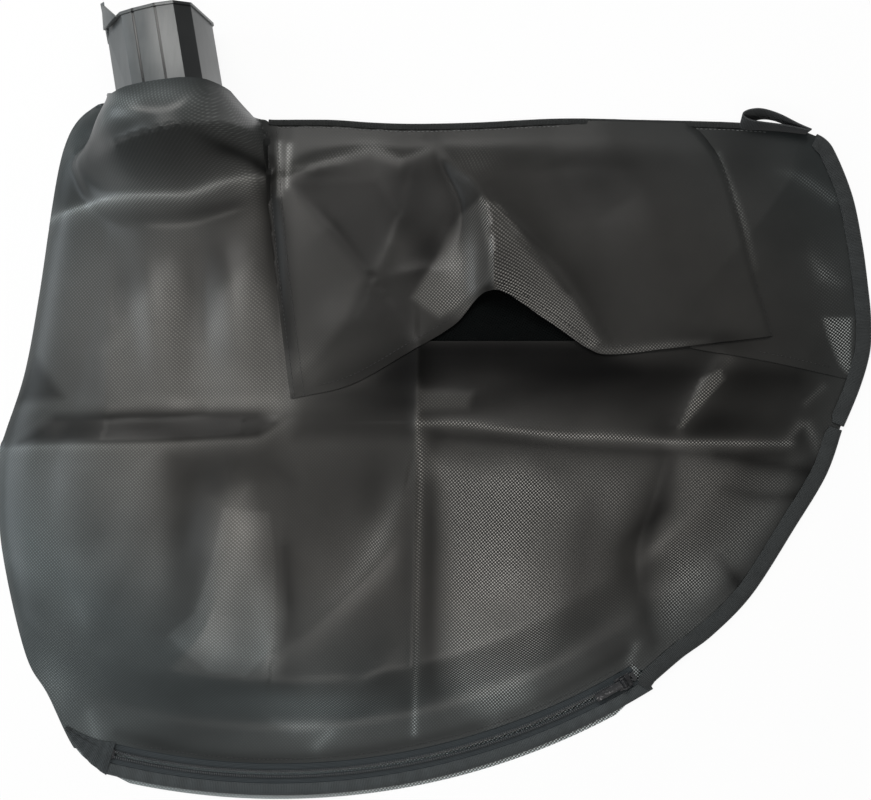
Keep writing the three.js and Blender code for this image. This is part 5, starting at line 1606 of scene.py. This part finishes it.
@dataclass
class Zip(Part):
    """The zip: tapes, coil turns, stops, ribbed band, slider and pull."""

    turn_pitch: float = 1.7
    wire: float = 0.42
    coil_low: float = 3.3
    coil_high: float = 5.3
    band_inner: float = 7.6
    band_outer: float = 16.4
    band_past: float = 0.012
    thick: float = 0.7
    puckers_from: float = 3.0
    coil_gap: float = 0.8
    coil_half: float = 1.3
    coil_margin: float = 3.4
    turn_slant: float = 0.22
    tip_share: float = 0.10
    on_cloth_to: float = 3.0
    tail: tuple = ((-244.6, -267.8), (-250.5, -265.9), (-257.3, -263.0), (-268.7, -256.1), (-279.5, -247.5))
    tail_section: tuple = (
        (-9, 4.6), (-6, 5.2), (-3.6, 4.9), (-2.2, 6.1), (0, 5.7), (2.2, 6.1), (3.6, 5.0), (7, 4.9),
        (9.5, 5.3), (13, 5.0), (17, 3.2), (16, 1.3),
    )

    def turn(self) -> Piece:
        """One turn of the coil, about the origin: a ring squeezed to the coil's section."""
        deselect()
        radius = 1.0
        bpy.ops.mesh.primitive_torus_add(
            major_segments=10, minor_segments=5, major_radius=radius * MM, minor_radius=self.wire * MM,
            rotation=(0, math.pi / 2, 0),
        )
        ring = bpy.context.object
        bpy.ops.object.transform_apply(rotation=True)
        ring_half = radius + self.wire
        half = (self.coil_high - self.coil_low) / 2
        edited(bpy.ops.transform.resize, value=(1, self.coil_half / ring_half, half / ring_half))
        return ring

    def coil(self, name: str, side: int) -> Piece:
        """One half of the coil: its turns along the arc."""
        margin = self.coil_margin / ZIP_RADIUS
        radius = ZIP_RADIUS + side * (self.coil_gap + self.coil_half)
        middle = (self.coil_low + self.coil_high) / 2
        poses = []
        for angle in np.arange(ZIP_START + margin, ZIP_END - margin, self.turn_pitch / ZIP_RADIUS):
            x, y = ZIP_CENTRE[0] + radius * math.cos(angle), ZIP_CENTRE[1] + radius * math.sin(angle)
            turn = Matrix.Rotation(angle + math.pi / 2 + self.turn_slant * side, 4, "Z")
            poses.append(Matrix.Translation(Vector(to_frame([(x, y, middle)])[0])) @ turn)
        return repeated(name, self.turn(), poses)

    def band(self) -> Piece:
        """The ribbed band over the back tape's edge, slightly gathered."""
        path = zip_arc(0, ZIP_START, ZIP_END + self.band_past, 2.0)
        run = run_of(path)
        pucker = 0.5 * np.sin(run * 0.5) * (0.6 + 0.4 * np.sin(run * 0.037))
        inner, outer = self.band_inner, self.band_outer
        middle = (inner + outer) / 2
        section = (
            (inner, 3.6), (inner + 2, 3.9), (middle, 4.1), (outer - 1, 3.6), (outer, 2.4), (outer - 1, 1.3),
        )
        rows = []
        for out, high in section:
            side = (path - ZIP_CENTRE) * ((ZIP_RADIUS + out) / ZIP_RADIUS) + ZIP_CENTRE
            rows.append(np.column_stack([side, high + pucker * (high > self.puckers_from)]))
        return taped("zip_band_tape", path, rows, self.thick)

    def tail_end(self) -> Piece:
        """The zip's left end, which curls up into the bag's corner and gets narrow."""
        path = smooth(self.tail[::-1], 1.5)
        run = run_of(path)
        share = self.tip_share + (1 - self.tip_share) * run / run[-1]
        pucker = 0.35 * np.sin(run * 0.9)
        rows = []
        for out, high in self.tail_section:
            side = aside(path, -out * share)
            over = BAG.front(*side.T) + LAYER if out < self.on_cloth_to else np.zeros(len(side))
            top = np.maximum(high + pucker * (high > self.puckers_from), over)
            rows.append(np.column_stack([side, top]))
        return taped("zip_tail", path, rows, self.thick)

    @staticmethod
    def softened(name: str, node: str, width: float) -> Piece:
        """A copy of a hard CAD piece with its edges rounded."""
        return rounded(bevelled(copied(name, node, 0.01, 1), width))

    def build(self) -> None:
        """Makes the coil, band, slider and pull."""
        for name, side in (("front", -1), ("back", 1)):
            self.built[f"coil_{name}"] = self.coil(f"coil_turns_{name}", side)
        self.built["band"] = self.band()
        self.built["tail"] = self.tail_end()
        self.built["slider"] = self.softened("slider_body", "zip_slider", 0.25)
        self.built["pull"] = self.softened("pull_tab", "zip_pull", 0.35)

    def dress(self) -> None:
        """Dresses the zip, with the CAD tapes and stops kept."""
        for name in ("coil_front", "coil_back"):
            settle(self.built[name], self.finishes.coil, Slot.COIL, f"zip_{name}")
        settle(self.built["band"], self.finishes.band, Slot.BINDING, "zip_band")
        settle(self.built["tail"], self.finishes.tail, Slot.ZIP_TAPE)
        settle(self.built["slider"], self.finishes.metal, Slot.METAL, "zip_slider", body=Body.SLIDER)
        settle(self.built["pull"], self.finishes.metal, Slot.METAL, "zip_pull", body=Body.PULL)
        for name in ("zip_tape_front", "zip_tape_back"):
            wear(frame["nodes"][name], self.finishes.zip_tape)
        for name in ("zip_stop_open_end", "zip_stop_closed_end"):
            wear(frame["nodes"][name], self.finishes.metal)


@dataclass
class HangLoop(Part):
    """The webbing loop at the top right corner."""

    plan: tuple = (
        (281, 202), (271, 205.5), (257, 211.5), (244, 214.5), (234, 213), (231, 209.5), (239, 205.5),
        (262, 203.5), (280, 201.5),
    )
    low: float = 4.8
    width: float = 14.0
    lean: float = 3.2
    slant: float = 4.0
    slant_at: float = 0.46
    slant_span: float = 0.12
    thick: float = 1.2

    def build(self) -> None:
        """Sweeps the webbing, on edge, round the loop."""
        path = smooth(self.plan, 1.5)
        share = np.linspace(0, 1, len(path))
        lean = self.lean * np.sin(share * math.pi)
        low, high = self.low, self.low + self.width
        sections = []
        slant = self.slant * np.exp(-(((share - self.slant_at) / self.slant_span) ** 2))
        for part in (-0.5, 0.5):
            edge = aside(path, part * self.thick)
            side = edge - np.column_stack([slant * 0.2, slant])
            tops = edge + np.column_stack([-lean * 0.4, lean])
            order = ((side, low), (side * 0.5 + tops * 0.5, (low + high) / 2), (tops, high))
            rows = [np.column_stack([xy, np.full(len(xy), z)]) for xy, z in order]
            sections.extend(rows if part < 0 else rows[::-1])
        loop = outward(swept("loop_webbing", path, np.stack(sections, axis=1), tube=True))
        self.built["loop"] = rounded(bevelled(loop, 0.3, angle=50), 50)

    def dress(self) -> None:
        """Gives the loop its webbing."""
        settle(self.built["loop"], self.finishes.webbing, Slot.WEBBING, "hang_loop")


@dataclass
class Seams(Part):
    """Rows of machine stitches on the cloth."""

    length: float = 2.4
    pitch: float = 3.4
    thread: float = 0.32
    zip_inset: float = 0.02
    hem_inset: float = 6.0
    top_inset: float = TOP_BINDING_WIDTH - 2.2
    # rows in pale thread; on the vent's hem the pale thread is also a painted glint
    pale: tuple = ("stitches_top", "stitches_vent_hem_left", "stitches_vent_hem_right")

    def stitch(self) -> Piece:
        """One stitch about the origin: a short thread that is thickest in its middle."""
        deselect()
        bpy.ops.mesh.primitive_uv_sphere_add(segments=6, ring_count=4, radius=self.thread * MM)
        bead = bpy.context.object
        edited(bpy.ops.transform.resize, value=(self.length / (2 * self.thread), 1, 0.8))
        return bead

    def row(self, name: str, path: Array, top: Height) -> None:
        """A row of stitches along a plan path, on a surface."""
        at = evenly(path, self.pitch)
        heights = top(at[:, 0], at[:, 1]) + self.thread * 0.4
        places = to_frame(np.column_stack([at, heights]))
        poses = []
        for a, b in zip(places[:-1], places[1:]):
            along = Vector(b - a).normalized()
            turn = along.to_track_quat("X", "Z").to_matrix().to_4x4()
            poses.append(Matrix.Translation(Vector((a + b) / 2)) @ turn)
        self.built[name] = repeated(name, self.stitch(), poses)

    def build(self) -> None:
        """Makes the rows that the bag shows."""
        flap_top, front_top = Above(BAG.flap, CLOTH), Above(BAG.front, CLOTH)
        seam = smooth(FLAP_LEFT_SEAM, 3)
        for name, inset in (("outer", 3.0), ("inner", 10.5)):
            self.row(f"stitches_flap_seam_{name}", aside(seam, inset)[3:], flap_top)
        self.row("stitches_flap_hem", aside(smooth(FLAP_HEM[:-2], 3), self.hem_inset)[4:-4], flap_top)
        self.row("stitches_pleat_hem", aside(smooth(PLEAT_HEM, 3), self.hem_inset)[17:-5], flap_top)
        top_edge = aside(BAG.edges["fine"]["top"], self.top_inset)
        self.row("stitches_top", top_edge[8:-2], flap_top)
        zip_hem = zip_arc(-ZIP_HEM_AT - 3, ZIP_START + self.zip_inset, ZIP_END - self.zip_inset, 3)
        self.row("stitches_zip_hem", zip_hem, front_top)
        # the vent's hem: stitches in pale thread, which also stand as a painted glint where the hem catches
        # the light
        for name, start, end in (("left", -80.0, -62.0), ("right", -52.0, -34.0)):
            painted_glint = np.array([(start, VENT_HEM - 4), (end, VENT_HEM - 2)])
            self.row(f"stitches_vent_hem_{name}", painted_glint, front_top)

    def dress(self) -> None:
        """Gives the stitches their thread."""
        for name, piece in self.built.items():
            thread = self.finishes.thread if name in self.pale else self.finishes.dark_thread
            settle(piece, thread, Slot.BINDING)


@dataclass
class Studio:
    """Floor, lights and the camera straight above the bag."""

    camera_height: float = 1.05
    lens: float = 57.1
    floor_size: float = 6.0

    def build(self) -> None:
        """Sets the studio."""
        self.floor()
        self.lights()
        self.camera()
        bpy.context.scene.view_settings.view_transform = "Standard"

    def floor(self) -> None:
        """A plain white floor that stays white behind the bag and keeps its shadow."""
        deselect()
        bpy.ops.mesh.primitive_plane_add(size=self.floor_size, location=(0, 0, -0.0004))
        floor = bpy.context.object
        floor.name = "floor"
        paint = Paint("floor_white")
        paint.set(Base_Color=(0.8, 0.8, 0.8, 1), Roughness=0.9)
        rays = paint.node("ShaderNodeLightPath", {}, {}, "Is Camera Ray")
        outputs = rays.socket.node.outputs
        for kind in ("Is Glossy Ray", "Is Transmission Ray"):
            rays = (rays + Wire(paint, outputs[kind])).clipped()
        glow = paint.node("ShaderNodeEmission", {}, {"Color": (1, 1, 1, 1), "Strength": 1.0})
        plain = Wire(paint, paint.shader.outputs[0])
        mixed = paint.node("ShaderNodeMixShader", {}, {0: rays * 0.93, 1: plain, 2: glow})
        paint.feed(paint.tree.nodes["Material Output"].inputs["Surface"], mixed)
        wear(floor, paint.material)

    def lamp(self, name: str, place: tuple, aim: tuple, size: tuple, power: float, colour: tuple) -> None:
        """A soft rectangular lamp aimed at a point."""
        data = bpy.data.lights.new(name, "AREA")
        data.shape = "RECTANGLE"
        data.size, data.size_y = size
        data.energy = power
        data.color = colour
        lamp = bpy.data.objects.new(name, data)
        bpy.context.scene.collection.objects.link(lamp)
        lamp.location = place
        lamp.rotation_euler = (Vector(aim) - Vector(place)).to_track_quat("-Z", "Y").to_euler()
        lamp.visible_camera = False

    def lights(self) -> None:
        """Soft warm light from above and below the picture, and cool light from its left."""
        self.lamp("ceiling_top", (-0.3, 1.0, 1.6), (0, 0, 0), (1.3, 0.8), 24, (1.0, 0.98, 0.95))
        self.lamp("window_left", (-1.7, 0.1, 0.9), (0, 0, 0), (1.2, 1.2), 16, (0.86, 0.94, 1.0))
        self.lamp("ceiling_low", (0.1, -1.0, 1.7), (0, 0, 0), (1.2, 0.7), 10, (1.0, 0.96, 0.91))
        world = bpy.data.worlds.new("room")
        world.use_nodes = True
        background = world.node_tree.nodes["Background"]
        background.inputs["Color"].default_value = (0.95, 0.97, 1.0, 1)
        background.inputs["Strength"].default_value = 0.22
        bpy.context.scene.world = world

    def camera(self) -> None:
        """The camera straight above the middle of the picture."""
        data = bpy.data.cameras.new("camera")
        data.lens = self.lens
        data.sensor_width = 36
        data.sensor_fit = "HORIZONTAL"
        camera = bpy.data.objects.new("camera", data)
        bpy.context.scene.collection.objects.link(camera)
        camera.location = (SHIFT[0] * MM, SHIFT[1] * MM, self.camera_height)
        bpy.context.scene.camera = camera


def main() -> None:
    """Builds and dresses the bag, and sets the studio."""
    logging.basicConfig(level=logging.INFO)
    Studio().build()
    finishes = Finishes()
    for group in (Panels, DustFlap, Neck, Bindings, Zip, HangLoop, Seams):
        group(finishes).make()


if __name__ == "__main__":
    main()
